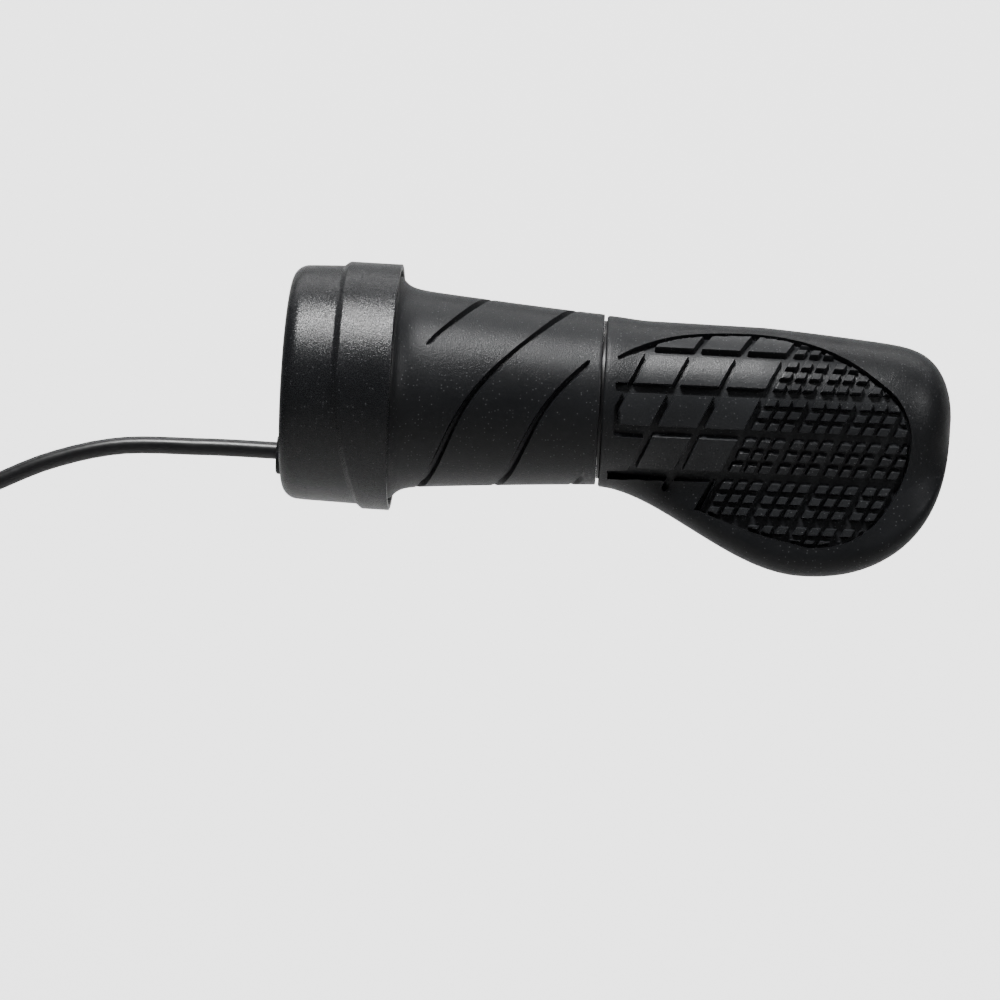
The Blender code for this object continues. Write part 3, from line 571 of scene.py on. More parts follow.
# %% [markdown]
# ## Turning sleeve
# The sleeve tapers from the housing, where it flares like a trumpet's mouth, to the seam. Three long
# grooves wind round it. A groove cut with a Boolean would leave ragged shading, so the mesh is laid out to
# suit: it is spun, and then every column of points is wound to run along the grooves. Columns crowd
# together at a groove, and sink to form it, so its edges stay crisp.

# %% Sleeve outline
RUBBER_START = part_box("twist_rubber")[0][0]
RUBBER_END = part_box("twist_rubber")[1][0]
FLARE_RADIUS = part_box("twist_rubber")[1][2]
NECK_START, NECK_RADIUS, TIP_RADIUS = 28.0 * MM, 20.5 * MM, 17.85 * MM
BORE_RADIUS = 14.9 * MM
FLARE_SOFTNESS = 0.25 * MM


def sleeve_radius(x):
    """The sleeve's outside: a long taper that opens into a flare at the housing."""
    left = max(0.0, (RUBBER_END - x) / (RUBBER_END - NECK_START))
    taper = TIP_RADIUS + (NECK_RADIUS - TIP_RADIUS) * left**1.15
    flare = 1.77 * MM * exp(-(x - 23 * MM) / (1.46 * MM))
    over = (taper + flare - FLARE_RADIUS) / FLARE_SOFTNESS
    if over > 8:
        return FLARE_RADIUS
    if over < -8:
        return taper + flare
    return FLARE_RADIUS - FLARE_SOFTNESS * log1p(exp(-over))


print("sleeve from", round(RUBBER_START, 4), "to", round(RUBBER_END, 4))


# %% [markdown]
# Each groove is a line that moves inboard as it goes round. It moves fastest just below the front, where
# the pitch has a broad peak, and slowly at the top and the bottom. The running sum of the pitch says where
# the line crosses each angle, and the inverse of it says at which angle the line crosses a place along the
# bar.

# %% Groove paths
GROOVE_OFFSETS = (1.1 * MM, 17.3 * MM, 33.3 * MM)  # of each groove, along the bar
GROOVE_STOPS = (27.4 * MM, 29.2 * MM, 29.2 * MM)
GROOVE_HALF = 0.86 * MM
GROOVE_DEPTH = 1.05 * MM
GROOVE_START = 62.6 * MM


def pitch_at(angle):
    """How many millimetres a groove moves inboard for each degree at this angle."""
    near = (angle + 22 + 180) % 360 - 180
    return 0.102 + 0.198 * exp(-((near / 38) ** 2))


winding = [0.0]
for degree in range(-540, 540):
    winding.append(winding[-1] + pitch_at(degree + 0.5) * MM)
PER_TURN = winding[360] - winding[0]
ANCHOR = 37.4 * MM + winding[540 + 6]


def angle_of(x, offset):
    """The angle in degrees where the line with this offset crosses x."""
    want = ANCHOR + offset - x
    low, high = 0, len(winding) - 1
    while high - low > 1:
        middle = (low + high) // 2
        if winding[middle] <= want:
            low = middle
        else:
            high = middle
    return low - 540 + (want - winding[low]) / (winding[high] - winding[low])


print("a groove moves", round(PER_TURN / MM, 1), "mm along the bar in a turn")


# %% [markdown]
# A groove has a flat floor and sloping walls. It fades to nothing at its two ends, so each end comes to a
# point.

# %% Groove section
def column_offsets():
    """The offsets of the mesh's columns: close together across each groove, and even between them."""
    across = [-1.16, -1.0, -0.86, -0.66, -0.44, -0.2, 0.0, 0.2, 0.44, 0.66, 0.86, 1.0, 1.16]
    columns = []
    for k, offset in enumerate(GROOVE_OFFSETS):
        columns += [(offset + a * GROOVE_HALF, a, GROOVE_STOPS[k]) for a in across]
        following = GROOVE_OFFSETS[k + 1] if k + 1 < len(GROOVE_OFFSETS) else GROOVE_OFFSETS[0] + PER_TURN
        start = offset + across[-1] * GROOVE_HALF
        end = following + across[0] * GROOVE_HALF
        count = round((end - start) / (0.40 * MM))
        columns += [(start + (end - start) * i / count, 9.0, RUBBER_END) for i in range(1, count)]
    return columns


def groove_sink(x, across, stop):
    """How deep the surface lies at this place across a groove, in metres."""
    if abs(across) >= 1.16:
        return 0.0
    end_gap = min(GROOVE_START - x, (x - stop) * 0.45)
    if end_gap <= 0:
        return 0.0
    narrowing = min(1.0, (end_gap / (0.75 * MM)) ** 0.5)
    place = abs(across) / max(0.2, narrowing)
    if place > 1.0:
        return 0.0
    wall = min(1.0, (1.0 - place) / 0.52)
    return GROOVE_DEPTH * wall * (0.35 + 0.65 * narrowing)


# %% [markdown]
# Now the sleeve is spun with one column for each offset, and each column is wound along its groove's path.

# %% Sleeve
columns = column_offsets()
stations = [RUBBER_START + 0.9 * MM + 0.35 * MM * k for k in range(20)]
station = stations[-1]
while station < RUBBER_END - 1.0 * MM:
    station += 0.42 * MM
    stations.append(station)
sleeve_profile = [(RUBBER_START, BORE_RADIUS), (RUBBER_START, FLARE_RADIUS - 0.5 * MM)]
sleeve_profile += [(RUBBER_START + 0.3 * MM, FLARE_RADIUS - 0.1 * MM)]
sleeve_profile += [(x, sleeve_radius(x)) for x in stations]
sleeve_profile += arc(RUBBER_END - 0.35 * MM, TIP_RADIUS - 0.35 * MM, 0.35 * MM, 80, 0, 4)
bore_stations = [RUBBER_END - (RUBBER_END - RUBBER_START) * k / 46 for k in range(46)]
sleeve_profile += [(x, BORE_RADIUS) for x in bore_stations]
sleeve = spun("sleeve_rubber", sleeve_profile, steps=len(columns))
for vertex in sleeve.data.vertices:
    x, y, z = vertex.co
    column = round((atan2(z, y) % (2 * pi)) / (2 * pi) * len(columns)) % len(columns)
    offset, across, stop = columns[column]
    radius = hypot(y, z)
    if radius > BORE_RADIUS + 0.5 * MM:
        radius -= groove_sink(x, across, stop)
    turn = radians(180 + angle_of(x, offset))
    vertex.co = (x, radius * cos(turn), radius * sin(turn))
clean(sleeve)
smooth(sleeve, 38)
finish_with(sleeve, sleeve_finish, SLEEVE, "grip_rubber", "twist_rubber")

# %% [markdown]
# A thin black washer fills the running gap between the sleeve and the palm grip, so no light shows through.
# It is a rectangle, spun round the bar.

# %% Seam washer
WASHER_START, WASHER_END = 65.22 * MM, 65.76 * MM
WASHER_BORE, WASHER_RADIUS = 12.9 * MM, 16.5 * MM
washer_profile = [(WASHER_START, WASHER_BORE), (WASHER_START, WASHER_RADIUS)]
washer_profile += [(WASHER_END, WASHER_RADIUS), (WASHER_END, WASHER_BORE)]
washer = spun("seam_rubber", washer_profile, steps=96)
smooth(washer, 30)
finish_with(washer, sheath_finish, HOUSING, "black_plastic", "seam_washer")

# %% [markdown]
# ## Palm grip
# The palm grip is one rubber moulding: a round barrel that blends into a hanging wing. Its sections are
# found from a distance formula that joins a circle and a tapering bar with a soft blend. Rings are extruded
# along the bar from a circle, and each ring's points are then moved onto the section at its place.

# %% Palm grip sections
PALM_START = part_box("palm_grip")[0][0] - 0.25 * MM
PALM_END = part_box("palm_grip")[1][0]
PALM_BORE_END = 126.6 * MM
PALM_BORE = 13.0 * MM
WING_WIDEST = 109.0 * MM
WING_DEPTH = 34.3 * MM
WING_HALF_THICKNESS = 4.8 * MM
WING_FORWARD = 6.5 * MM


def end_rounding(x, start, power, bluntness):
    """Falls from 1 to 0 between start and the grip's end."""
    share = min(1.0, max(0.0, (x - start) / (PALM_END - start)))
    return (1 - share**power) ** bluntness


def barrel_radius(x):
    waist = 17.0 * MM + 0.6 * MM * (1 - smoothstep((x - PALM_START) / (9 * MM)))
    taper = 3.0 * MM * max(0.0, (x - 98 * MM) / (40.6 * MM)) ** 1.25
    return (waist - taper) * end_rounding(x, 118 * MM, 5, 0.55)


def wing_reach(x):
    """How far the palm wing's lower edge is from the bar's axis."""
    neck = 18.2 * MM
    if x >= WING_WIDEST:
        return WING_DEPTH * end_rounding(x, WING_WIDEST, 2.2, 0.39)
    share = (x - PALM_START) / (WING_WIDEST - PALM_START)
    return neck + (WING_DEPTH - neck) * smoothstep(max(0.0, share) ** 0.93)


def wing_forward(x):
    return WING_FORWARD * smoothstep((x - PALM_START) / (25 * MM)) * end_rounding(x, 126 * MM, 3, 0.5)


def grip_distance(x, y, z):
    """Below zero inside the section: a round barrel blended with a tapering wing."""
    barrel = hypot(y, z) - barrel_radius(x)
    thin = WING_HALF_THICKNESS * max(0.05, end_rounding(x, 126 * MM, 3, 0.5))
    thick = 0.62 * barrel_radius(x)
    forward = wing_forward(x)
    tip = (-forward, -(wing_reach(x) - thin))
    root = (-0.35 * forward, 0.0)
    run = (tip[0] - root[0], tip[1] - root[1])
    share = ((y - root[0]) * run[0] + (z - root[1]) * run[1]) / max(1e-12, run[0] ** 2 + run[1] ** 2)
    share = min(1.0, max(0.0, share))
    away = hypot(y - root[0] - share * run[0], z - root[1] - share * run[1])
    wing = away - (thick + (thin - thick) * share)
    blend = 5 * MM * max(0.02, end_rounding(x, 126 * MM, 3, 0.5))
    overlap = max(blend - abs(barrel - wing), 0.0) / blend
    return min(barrel, wing) - overlap * overlap * blend / 4


def grip_section(x, count):
    """Evenly spaced points round the section, from the top towards the front."""
    centre = (-0.3 * wing_forward(x), -0.3 * (wing_reach(x) - barrel_radius(x)))
    fine = []
    for k in range(480):
        turn = 2 * pi * k / 480
        way = (-sin(turn), cos(turn))
        low, high = 0.0, 50 * MM
        for _ in range(22):
            middle = (low + high) / 2
            if grip_distance(x, centre[0] + way[0] * middle, centre[1] + way[1] * middle) < 0:
                low = middle
            else:
                high = middle
        fine.append((centre[0] + way[0] * low, centre[1] + way[1] * low))
    lowest = min(z for _, z in fine)
    stretch = wing_reach(x) / -lowest
    fine = [(y, z * stretch if z < 0 else z) for y, z in fine]
    fine.append(fine[0])
    run = [0.0]
    for a, b in zip(fine, fine[1:]):
        run.append(run[-1] + hypot(b[0] - a[0], b[1] - a[1]))
    even = []
    k = 0
    for i in range(count):
        want = run[-1] * i / count
        while run[k + 1] < want:
            k += 1
        share = (want - run[k]) / (run[k + 1] - run[k])
        a, b = fine[k], fine[k + 1]
        even.append((a[0] + (b[0] - a[0]) * share, a[1] + (b[1] - a[1]) * share))
    return even


print("palm grip from", round(PALM_START, 4), "to", round(PALM_END, 4))

# %% [markdown]
# The body starts as one circle at the end of the bore. It is extruded inboard for the bore, and then
# outboard ring by ring for the skin, past the same circle again to the rounded cap, where the last face
# closes it.

# %% Palm grip body
PALM_POINTS = 150
palm_stations = [PALM_START, PALM_START + 0.12 * MM, PALM_START + 0.4 * MM]
palm_stations += [PALM_START + (1.1 + 0.9 * k) * MM for k in range(64)]
cap_start = palm_stations[-1] + 0.9 * MM
palm_stations += [cap_start + (PALM_END - cap_start) * sin(pi / 2 * k / 26) for k in range(26)]
deselect_all()
bpy.ops.mesh.primitive_circle_add(
    vertices=PALM_POINTS, radius=PALM_BORE, location=(PALM_BORE_END, 0, 0),
    rotation=(0, pi / 2, 0), fill_type="NGON",
)
palm = settle(named("palm_rubber"))
ring_places = [PALM_START, *palm_stations]
edit_all(palm)
bpy.ops.mesh.select_mode(type="FACE")
place = PALM_BORE_END
for x in ring_places:
    bpy.ops.mesh.extrude_region_move(TRANSFORM_OT_translate={"value": (x - place, 0, 0)})
    place = x
bpy.ops.object.mode_set(mode="OBJECT")
points = palm.data.vertices
rings = []
for r in range(len(ring_places) + 1):
    rings.append([points[i] for i in range(r * PALM_POINTS, (r + 1) * PALM_POINTS)])
turns = [atan2(v.co.z, v.co.y) for v in rings[0]]
first = min(range(PALM_POINTS), key=lambda i: abs(turns[i] - pi / 2))
forwards = 1 if turns[(first + 1) % PALM_POINTS] > turns[first] else -1
print("palm rings:", len(rings), "points in each:", PALM_POINTS)
for number, ring in enumerate(rings):
    if number < 2:  # the bore keeps its circle
        continue
    x = palm_stations[number - 2]
    near_end = min(x, PALM_END - 0.05 * MM)
    section = grip_section(near_end, PALM_POINTS)
    shrink = 1.0 - 0.022 * max(0.0, 1 - (x - PALM_START) / (0.4 * MM)) ** 2
    for k, (y, z) in enumerate(section):
        vertex = ring[(first + forwards * k) % PALM_POINTS]
        vertex.co = (min(x, PALM_END - 0.01 * MM), y * shrink, z * shrink)
clean(palm)

# %% [markdown]
# ## The palm's pattern
# The pad is sunk a millimetre and a half into the front of the grip. Large slanted blocks, level with the
# skin, fill its left side, and small knobs fill its right side, nine to a block's area. It is laid out flat
# first, with u along the bar and v across it. Then each point is laid on the grip: v becomes a distance
# round the barrel, and height a distance above the skin. The pocket's outline has a smooth rim, and
# straight runs where grooves end in the skin.

# %% Pocket outline
rim_corners = [
    (68.2, 9.1), (71.7, 11.6), (76.6, 14.4), (81.5, 16.5), (87.2, 17.9), (92.5, 18.6),
    (97.4, 18.7), (103.3, 17.7), (109.7, 15.2), (116.0, 11.6), (121.8, 7.3), (126.5, 3.1),
    (129.1, -1.9), (129.7, -6.8), (129.0, -11.9), (126.6, -17.9), (122.4, -23.6), (117.2, -27.0),
    (111.2, -28.3), (106.7, -27.7), (99.2, -26.1), (94.1, -24.5), (89.3, -22.9), (85.9, -21.9),
]
straight_corners = [
    (88.6, -16.1), (81.2, -16.2), (80.6, -17.0), (80.2, -18.0), (79.6, -18.4), (79.1, -18.1), (79.0, -17.4),
    (79.5, -16.3), (72.6, -16.4), (67.7, -16.6), (67.5, -14.9), (71.6, -14.6), (74.5, -7.9), (68.9, -7.8),
    (68.4, -7.4), (68.2, -1.8), (68.5, -1.2), (69.9, 1.5), (68.5, 1.6), (68.2, 1.9), (68.2, 3.1), (68.5, 3.4),
    (70.7, 3.4), (73.9, 10.3), (73.4, 10.9), (70.7, 9.5), (68.5, 8.2),
]


def rounded(corners, steps=6):
    """A smooth curve through the corners, with straight ends."""
    ends = [corners[0], *corners, corners[-1]]
    curve = []
    for a, b, c, d in zip(ends, ends[1:], ends[2:], ends[3:]):
        for k in range(steps):
            t = k / steps
            weights = (-t / 2 + t * t - t**3 / 2, 1 - 2.5 * t * t + 1.5 * t**3,
                       t / 2 + 2 * t * t - 1.5 * t**3, -t * t / 2 + t**3 / 2)
            curve.append(tuple(sum(w * p[i] for w, p in zip(weights, (a, b, c, d))) for i in (0, 1)))
    return [*curve, corners[-1]]


pocket_edge = [(u * MM, v * MM) for u, v in rounded(rim_corners) + straight_corners]


def inside_by(u, v):
    """The distance to the pocket's edge: above zero inside it, and below zero outside."""
    nearest = 1.0
    inside = False
    for (au, av), (bu, bv) in zip(pocket_edge, pocket_edge[1:] + pocket_edge[:1]):
        du, dv = bu - au, bv - av
        share = min(1.0, max(0.0, ((u - au) * du + (v - av) * dv) / (du * du + dv * dv)))
        nearest = min(nearest, hypot(u - au - share * du, v - av - share * dv))
        if (av > v) != (bv > v) and u < au + (v - av) / (bv - av) * (bu - au):
            inside = not inside
    return nearest if inside else -nearest


print("pocket edge:", len(pocket_edge), "points")

# %% [markdown]
# To lay a flat point on the grip, a ray is cast at the smooth body from the front, before anything is cut
# from it. The skin's direction is taken across a wider patch than one face, so that the facets don't show.

# %% Lay on the grip
WRAP_RADIUS = 17.0 * MM
PATCH = 1.1 * MM
body_mesh = bmesh.new()
body_mesh.from_mesh(palm.data)
grip_tree = BVHTree.FromBMesh(body_mesh)
body_mesh.free()


def skin_point(u, v):
    z = v if v < 0 else WRAP_RADIUS * sin(v / WRAP_RADIUS)
    hit = grip_tree.ray_cast(Vector((u, -60 * MM, z)), Vector((0, 1, 0)))[0]
    return hit or grip_tree.find_nearest(Vector((u, -6 * MM, z)))[0]


def lay(u, v, height):
    here = skin_point(u, v)
    along = skin_point(u + PATCH, v) - skin_point(u - PATCH, v)
    across = skin_point(u, v + PATCH) - skin_point(u, v - PATCH)
    out = across.cross(along).normalized()
    if out.y > 0:
        out = -out
    return here + out * height


# %% [markdown]
# The pocket's cutter is a flat slab of small squares, trimmed to the outline with a Boolean and then laid
# on the grip, so its floor follows the skin. Taking it away leaves crisp, upright walls.

# %% Cut the pocket
PAD_DEPTH = 1.45 * MM
POCKET_DEPTH = 2.1 * MM
CUTTER_TOP = 1.6 * MM
deselect_all()
PAD_MIDDLE = (98 * MM, -5 * MM, 0)
bpy.ops.mesh.primitive_grid_add(x_subdivisions=50, y_subdivisions=38, size=1, location=PAD_MIDDLE)
cutter = named("pocket_cutter")
cutter.scale = (68 * MM, 52 * MM, 1)
settle(cutter)
edit_all(cutter)
bpy.ops.mesh.extrude_region_move(TRANSFORM_OT_translate={"value": (0, 0, 1)})
bpy.ops.mesh.select_all(action="SELECT")
bpy.ops.mesh.normals_make_consistent(inside=False)
bpy.ops.object.mode_set(mode="OBJECT")
prism = outline("pocket_outline", [(u, v, -1) for u, v in pocket_edge])
edit_all(prism)
bpy.ops.mesh.edge_face_add()
bpy.ops.mesh.extrude_region_move(TRANSFORM_OT_translate={"value": (0, 0, 3)})
bpy.ops.mesh.select_all(action="SELECT")
bpy.ops.mesh.normals_make_consistent(inside=False)
bpy.ops.object.mode_set(mode="OBJECT")
boolean(cutter, prism, "INTERSECT")
for vertex in cutter.data.vertices:
    u, v, level = vertex.co
    vertex.co = lay(u, v, CUTTER_TOP if level > 0.5 else -POCKET_DEPTH)
clean(cutter)
boolean(palm, cutter)
smooth(palm, 40)
finish_with(palm, palm_finish, HOUSING, "grip_rubber", "palm_grip")

# %% [markdown]
# The blocks and knobs come from one grid, whose lines are sheared to the pattern's slant. Its lines crowd
# together at the groove walls: first on the block's top, then at its rounded edge, and last at the wall's
# foot. So each wall is straight and clean however it slants. Knobs fade out where they would touch the
# pocket's wall.

# %% Pattern stations
SLANT = 0.46  # a column's shift along the bar, for each unit across it
RISE = 0.015
COLUMN_LINE, BLOCK_PITCH, KNOB_PITCH = 98.0 * MM, 9.5 * MM, 9.8 * MM
ROW_LINE, ROW_PITCH = 2.55 * MM, 8.72 * MM
COLUMN_HALF, ROW_HALF, BETWEEN_KNOBS = 0.66 * MM, 0.88 * MM, 0.40 * MM
WALL = 0.26 * MM
KNOB_SHARES = (0.352, 0.648)
KNOB_DROP = 0.06 * MM
FILL_STEP = 0.33 * MM


def gap_lines(centre, half):
    """The grid lines of one groove: block top, rounded edge, wall's foot, and the same again."""
    steps = (0, WALL * 0.75, WALL, WALL + 0.12 * MM)
    return [centre + side * (half + extra) for side in (-1, 1) for extra in steps]


def profile(place, gaps):
    """0 on a groove's floor, 1 on a block's top, and between them on a wall."""
    level = 1.0
    for centre, half in gaps:
        gap = abs(place - centre) - half
        if gap < WALL * 1.001:
            share = max(0.0, gap / WALL)
            level = min(level, share * 1.2 if share < 0.76 else 0.912 + (share - 0.76) * 0.367)
    return level


def filled(lines, step):
    """The same lines, with even ones between them wherever they are far apart."""
    lines = sorted(lines)
    whole = [lines[0]]
    for line in lines[1:]:
        gap = line - whole[-1]
        count = max(1, round(gap / step))
        start = whole[-1]
        whole += [start + gap * k / count for k in range(1, count + 1)]
    return whole


block_columns = [(-k * BLOCK_PITCH, COLUMN_HALF) for k in range(0, 4)]
knob_columns = [(k * KNOB_PITCH, COLUMN_HALF + 0.04 * MM) for k in range(0, 5)]
knob_columns += [((k + share) * KNOB_PITCH, BETWEEN_KNOBS) for k in range(0, 5) for share in KNOB_SHARES]
block_rows = [(k * ROW_PITCH, ROW_HALF) for k in range(-3, 3)]
knob_rows = list(block_rows)
knob_rows += [((k + share) * ROW_PITCH, BETWEEN_KNOBS) for k in range(-4, 3) for share in KNOB_SHARES]
all_columns = block_columns + knob_columns[1:]
column_lines = [line for centre, half in all_columns for line in gap_lines(centre, half)]
row_lines = [line for centre, half in knob_rows for line in gap_lines(centre, half)]
column_lines = filled([-34 * MM, 48 * MM, *column_lines], FILL_STEP)
row_lines = filled([-33.5 * MM, 18.6 * MM, *row_lines], FILL_STEP)
print("pattern lines:", len(column_lines), "by", len(row_lines))


def flat_place(s, r):
    """u and v of the point on column line s and row line r."""
    u, v = COLUMN_LINE + s, ROW_LINE + r
    for _ in range(4):
        v = ROW_LINE + r + RISE * (u - 85 * MM)
        u = COLUMN_LINE + s + SLANT * v
    return u, v


def pattern_height(s, r, room):
    """The height above the skin, where room is the distance to the pocket's wall."""
    if s < 0:
        level = min(profile(s, block_columns), profile(r, block_rows))
        fade = (room - 0.80 * MM) / (0.30 * MM)
        top = 0.0
    else:
        level = min(profile(s, knob_columns), profile(r, knob_rows))
        fade = (room - 0.42 * MM) / (0.42 * MM)
        top = -KNOB_DROP
    level = min(level, smoothstep(fade))
    return -PAD_DEPTH + (PAD_DEPTH + top) * level


# %% [markdown]
# The pad is a grid with one line for each station. Every point is laid on the grip at its height, and the
# points that lie outside the pocket are selected and deleted. The sheet's edge ends inside the pocket's
# wall.

# %% Pad
across = len(column_lines)
deselect_all()
bpy.ops.mesh.primitive_grid_add(x_subdivisions=across - 1, y_subdivisions=len(row_lines) - 1, size=1)
pad = named("pad_pattern")
rooms = []
for number, vertex in enumerate(pad.data.vertices):
    s, r = column_lines[number % across], row_lines[number // across]
    u, v = flat_place(s, r)
    room = inside_by(u, v) if 66 * MM < u < 132 * MM and -31 * MM < v < 20 * MM else -1.0
    rooms.append(room)
    if room > -1.1 * MM:
        vertex.co = lay(u, v, pattern_height(s, r, room))
    else:
        vertex.co = (u, 0, v)
use(pad)
bpy.ops.object.mode_set(mode="EDIT")
bpy.ops.mesh.select_all(action="DESELECT")
bpy.ops.mesh.select_mode(type="VERT")
bpy.ops.object.mode_set(mode="OBJECT")
for vertex, room in zip(pad.data.vertices, rooms):
    vertex.select = room < -0.8 * MM
bpy.ops.object.mode_set(mode="EDIT")
bpy.ops.mesh.delete(type="VERT")
bpy.ops.object.mode_set(mode="OBJECT")
if sum(face.normal.y for face in pad.data.polygons) > 0:
    edit_all(pad)
    bpy.ops.mesh.flip_normals()
    bpy.ops.object.mode_set(mode="OBJECT")
smooth(pad, 50)
finish_with(pad, pad_finish_painted_lighter, HOUSING, "grip_rubber")

# %% [markdown]
# ## Coil tie and plug
# A flat nylon strap holds the coil. It is a block with rounded edges and a window cut through it for the
# lead.

# %% Tie
tie_low, tie_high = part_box("coil_tie")
tie_middle = (Vector(tie_low) + Vector(tie_high)) / 2
tie_turn = atan2(tie_middle.z - COIL_CENTRE.z, tie_middle.x - COIL_CENTRE.x)
tie_place = COIL_CENTRE + Vector((cos(tie_turn), 0, sin(tie_turn))) * STRAND_RADIUS
TIE_WIDTH = 4.0 * MM


def tie_block(name, height, thickness, width, soft):
    """A rounded block across the coil's bundle, turned to face along it."""
    deselect_all()
    bpy.ops.mesh.primitive_cube_add(size=1, location=(0, 0, 0))
    block = named(name)
    block.scale = (height, thickness, width)
    settle(block)
    edit_all(block)
    bpy.ops.mesh.bevel(offset=soft, segments=4, affect="EDGES")
    bpy.ops.object.mode_set(mode="OBJECT")
    block.location = tie_place
    block.rotation_euler = (0, -tie_turn, 0)
    return settle(block)


tie = tie_block("coil_strap", 5.7 * MM, 9.6 * MM, TIE_WIDTH, 0.35 * MM)
boolean(tie, tie_block("window", 3.9 * MM, 7.8 * MM, 3 * TIE_WIDTH, 1.2 * MM))
smooth(tie, 35)
finish_with(tie, inner_nylon, HOUSING, "inner_plastic", "coil_tie")


# %% [markdown]
# The plug is a turned body with a ribbed rubber boot, a knurled ring and a seal. The boot and the ring are
# spun from outlines about the plug's own axis. The knurl is made by sinking two of every four columns of
# the ring.

# %% Plug
def plug_piece(name, solid, profile_points, surface, slot, steps=64):
    """A turned piece about the plug's axis, from (height, radius) points."""
    piece = spun(name, profile_points, steps=steps, axis="Z", centre=(PLUG_AXIS.x, 0, 0), closed=True)
    smooth(piece, 35)
    return finish_with(piece, surface, HOUSING, slot, solid)


BOOT_BORE = 1.85 * MM
KNURL_COLUMNS, KNURL_DEPTH = 96, 0.22 * MM
boot = [(-78.0 * MM, BOOT_BORE), (-78.0 * MM, 2.3 * MM), (-78.3 * MM, 2.5 * MM)]
for k in range(5):
    start = -79.0 * MM - 1.3 * k * MM
    girth = (2.55 + 0.22 * k) * MM
    boot += [(start, girth), (start - 0.3 * MM, girth - 0.3 * MM), (start - 0.7 * MM, girth - 0.3 * MM)]
    boot += [(start - 1.0 * MM, girth + 0.05 * MM)]
boot += [(-85.7 * MM, 3.6 * MM), (-86.0 * MM, 3.4 * MM), (-86.0 * MM, BOOT_BORE)]
plug_boot = plug_piece("lead_boot", "plug_boot", boot, palm_finish, "grip_rubber")
ring = [(-93.3 * MM, 4.55 * MM), (-93.3 * MM, 4.8 * MM), (-93.5 * MM, 5.0 * MM), (-98.8 * MM, 5.0 * MM)]
ring += [(-99.0 * MM, 4.8 * MM), (-99.0 * MM, 4.55 * MM)]
plug_ring = plug_piece("screw_ring", "plug_ring", ring, housing_nylon, "black_plastic", KNURL_COLUMNS)
for vertex in plug_ring.data.vertices:
    reach = hypot(vertex.co.x - PLUG_AXIS.x, vertex.co.y)
    if reach > 4.9 * MM:
        turn = atan2(vertex.co.y, vertex.co.x - PLUG_AXIS.x) / (2 * pi)
        sunk = round(turn * KNURL_COLUMNS) % 4 >= 2
        shrink = (reach - (KNURL_DEPTH if sunk else 0)) / reach
        vertex.co.x = PLUG_AXIS.x + (vertex.co.x - PLUG_AXIS.x) * shrink
        vertex.co.y *= shrink

# %% [markdown]
# The number of points along the lead is printed.

print("cord declared through", len(lead_points), "points")

# %% [markdown]
# ## Finishes on the inner solids
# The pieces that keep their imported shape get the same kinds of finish: nylon for the hub and cores, oiled
# steel for the spring, tinned and plated parts for the sensor, and coloured insulation for its wires.

# %% Inner finishes
inner_finishes = {
    "mounting_hub": inner_nylon, "sleeve_core": inner_nylon, "grip_core": inner_nylon,
    "cord_saddle": inner_nylon, "saddle_screw": zinc, "hall_board": board_mask, "hall_sensor": resin,
    "sensor_leg": nickel, "wire_red": red_pvc, "wire_black": black_pvc, "wire_green": green_pvc,
    "return_spring": oiled_steel, "thrust_washer": white_nylon, "retaining_ring": oiled_steel,
    "magnet": nickel, "plug_body": housing_nylon, "plug_seal": red_seal, "plug_contact": brass,
}
for node_name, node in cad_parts.items():
    for start, surface in inner_finishes.items():
        if node_name.startswith(start):
            node.data.materials.clear()
            node.data.materials.append(surface)
print("inner solids finished")

# %% [markdown]
# ## Studio
# The floor is a plain plane whose far edge is extruded in small turning steps, so that it sweeps up into a
# backdrop with no corner.

# %% Floor and backdrop
FLOOR_LEVEL = -0.80
SWEEP_STEPS, SWEEP_LENGTH = 8, 0.12
deselect_all()
bpy.ops.mesh.primitive_plane_add(size=1, location=(0, 0, 0))
floor = named("studio_floor")
floor.scale = (14.0, 8.4, 1)
floor.location = (0, -2.8, FLOOR_LEVEL)
settle(floor)
use(floor)
bpy.ops.object.mode_set(mode="EDIT")
bpy.ops.mesh.select_all(action="DESELECT")
bpy.ops.mesh.select_mode(type="EDGE")
bpy.ops.object.mode_set(mode="OBJECT")
for edge in floor.data.edges:
    edge.select = all(floor.data.vertices[i].co.y > 1.3 for i in edge.vertices)
bpy.ops.object.mode_set(mode="EDIT")
for k in range(SWEEP_STEPS):
    swing = (pi / 2) * (k + 1) / SWEEP_STEPS - pi / 32
    step = (0, SWEEP_LENGTH * cos(swing), SWEEP_LENGTH * sin(swing))
    bpy.ops.mesh.extrude_region_move(TRANSFORM_OT_translate={"value": step})
bpy.ops.mesh.extrude_region_move(TRANSFORM_OT_translate={"value": (0, 0, 3.2)})
bpy.ops.object.mode_set(mode="OBJECT")
smooth(floor, 60)
print("floor at", FLOOR_LEVEL)

# %% [markdown]
# A black object on white paper has dark edges only if the paper doesn't light it. So the paper and the air
# glow for the camera alone, which a Light Path node tells, and are dim for everything else. The air is
# dimmest behind the camera, so the grooves, which mirror what is in front, look darker than the skin
# between them.

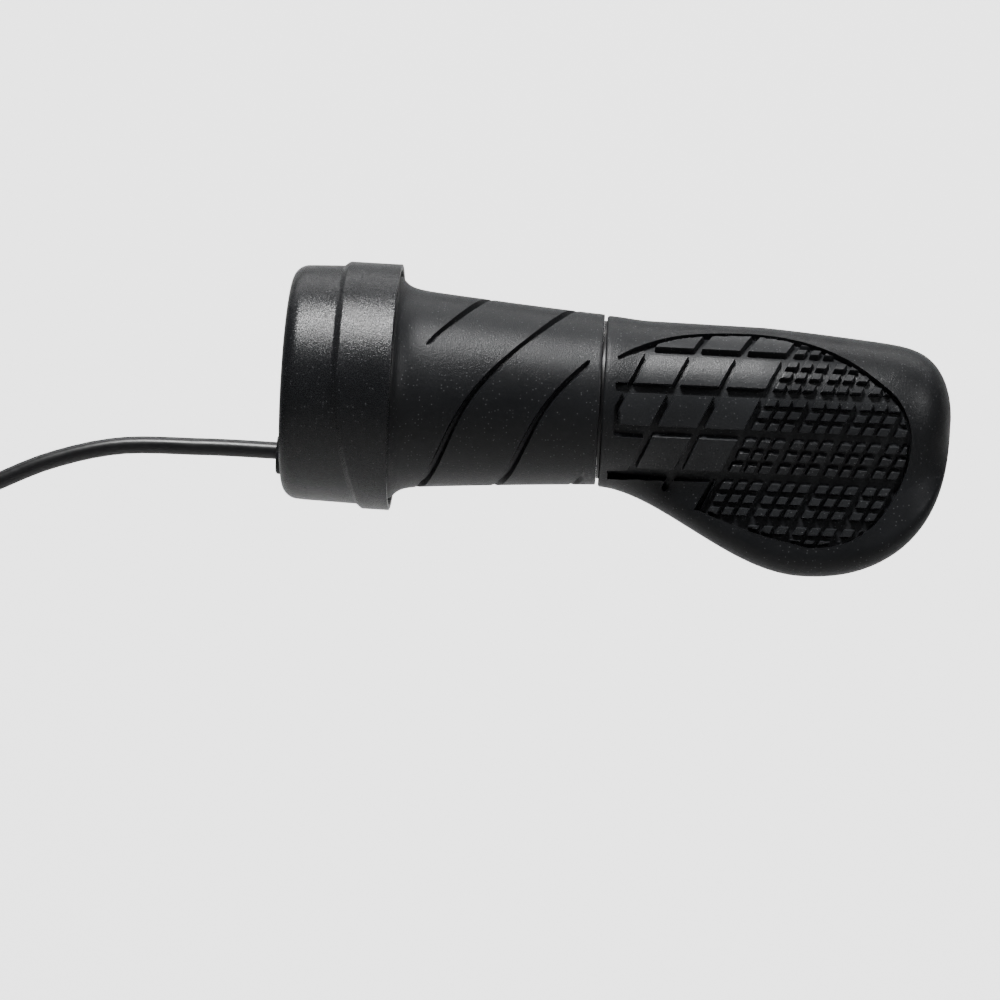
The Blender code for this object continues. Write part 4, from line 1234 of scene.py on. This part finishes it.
# %% Paper and air
BACKGROUND_GLOW = 2.4
paper, paper_tree, paper_shader = node_material("studio paper")
paper_shader.inputs["Base Color"].default_value = (0.88, 0.88, 0.88, 1)
paper_shader.inputs["Roughness"].default_value = 0.9
paper_shader.inputs["Emission Color"].default_value = (1, 1, 1, 1)
paper_seen = paper_tree.nodes.new("ShaderNodeLightPath").outputs["Is Camera Ray"]
paper_glow = combine(paper_tree, "MULTIPLY", paper_seen, BACKGROUND_GLOW)
paper_tree.links.new(paper_glow, paper_shader.inputs["Emission Strength"])
floor.data.materials.append(paper)
world = bpy.data.worlds.new("studio air")
world.use_nodes = True
air = world.node_tree
facing = air.nodes.new("ShaderNodeTexCoord")
axes = air.nodes.new("ShaderNodeSeparateXYZ")
air.links.new(facing.outputs["Generated"], axes.inputs["Vector"])
around = remap(air, axes.outputs["Y"], -1.0, 0.3, 0.035, 0.06)
air_seen = air.nodes.new("ShaderNodeLightPath").outputs["Is Camera Ray"]
air_glow = combine(air, "ADD", around, combine(air, "MULTIPLY", air_seen, BACKGROUND_GLOW))
air.links.new(air_glow, air.nodes["Background"].inputs["Strength"])
air.nodes["Background"].inputs["Color"].default_value = (1.0, 1.0, 1.0, 1)
bpy.context.scene.world = world
print("air:", len(air.nodes), "nodes")


# %% [markdown]
# One broad key light high in front makes the long highlight on the housing and the sleeve. A dim one
# overhead, a small one at the right and a wash on the backdrop round off the edges.

# %% Lights
def soft_light(name, place, target, width, height, watts):
    lamp_data = bpy.data.lights.new(name, "AREA")
    lamp_data.shape = "RECTANGLE"
    lamp_data.size, lamp_data.size_y = width, height
    lamp_data.energy = watts
    lamp = bpy.data.objects.new(name, lamp_data)
    bpy.context.scene.collection.objects.link(lamp)
    lamp.location = place
    lamp.rotation_euler = (Vector(target) - Vector(place)).to_track_quat("-Z", "Y").to_euler()
    print(name, "light:", watts, "W")


MIDDLE = (0.045, 0, -0.01)
soft_light("key", (-0.08, -0.44, 0.76), (0.01, 0, 0), 0.26, 0.10, 14.0)
soft_light("overhead", (0.10, 0.20, 0.85), MIDDLE, 1.0, 0.5, 0.5)
soft_light("right_side", (0.62, -0.38, 0.28), (0.12, 0, -0.01), 0.22, 0.30, 1.6)
soft_light("back_wash", (0.05, 0.45, 0.9), (0.05, 1.6, -0.05), 1.8, 0.5, 20.0)
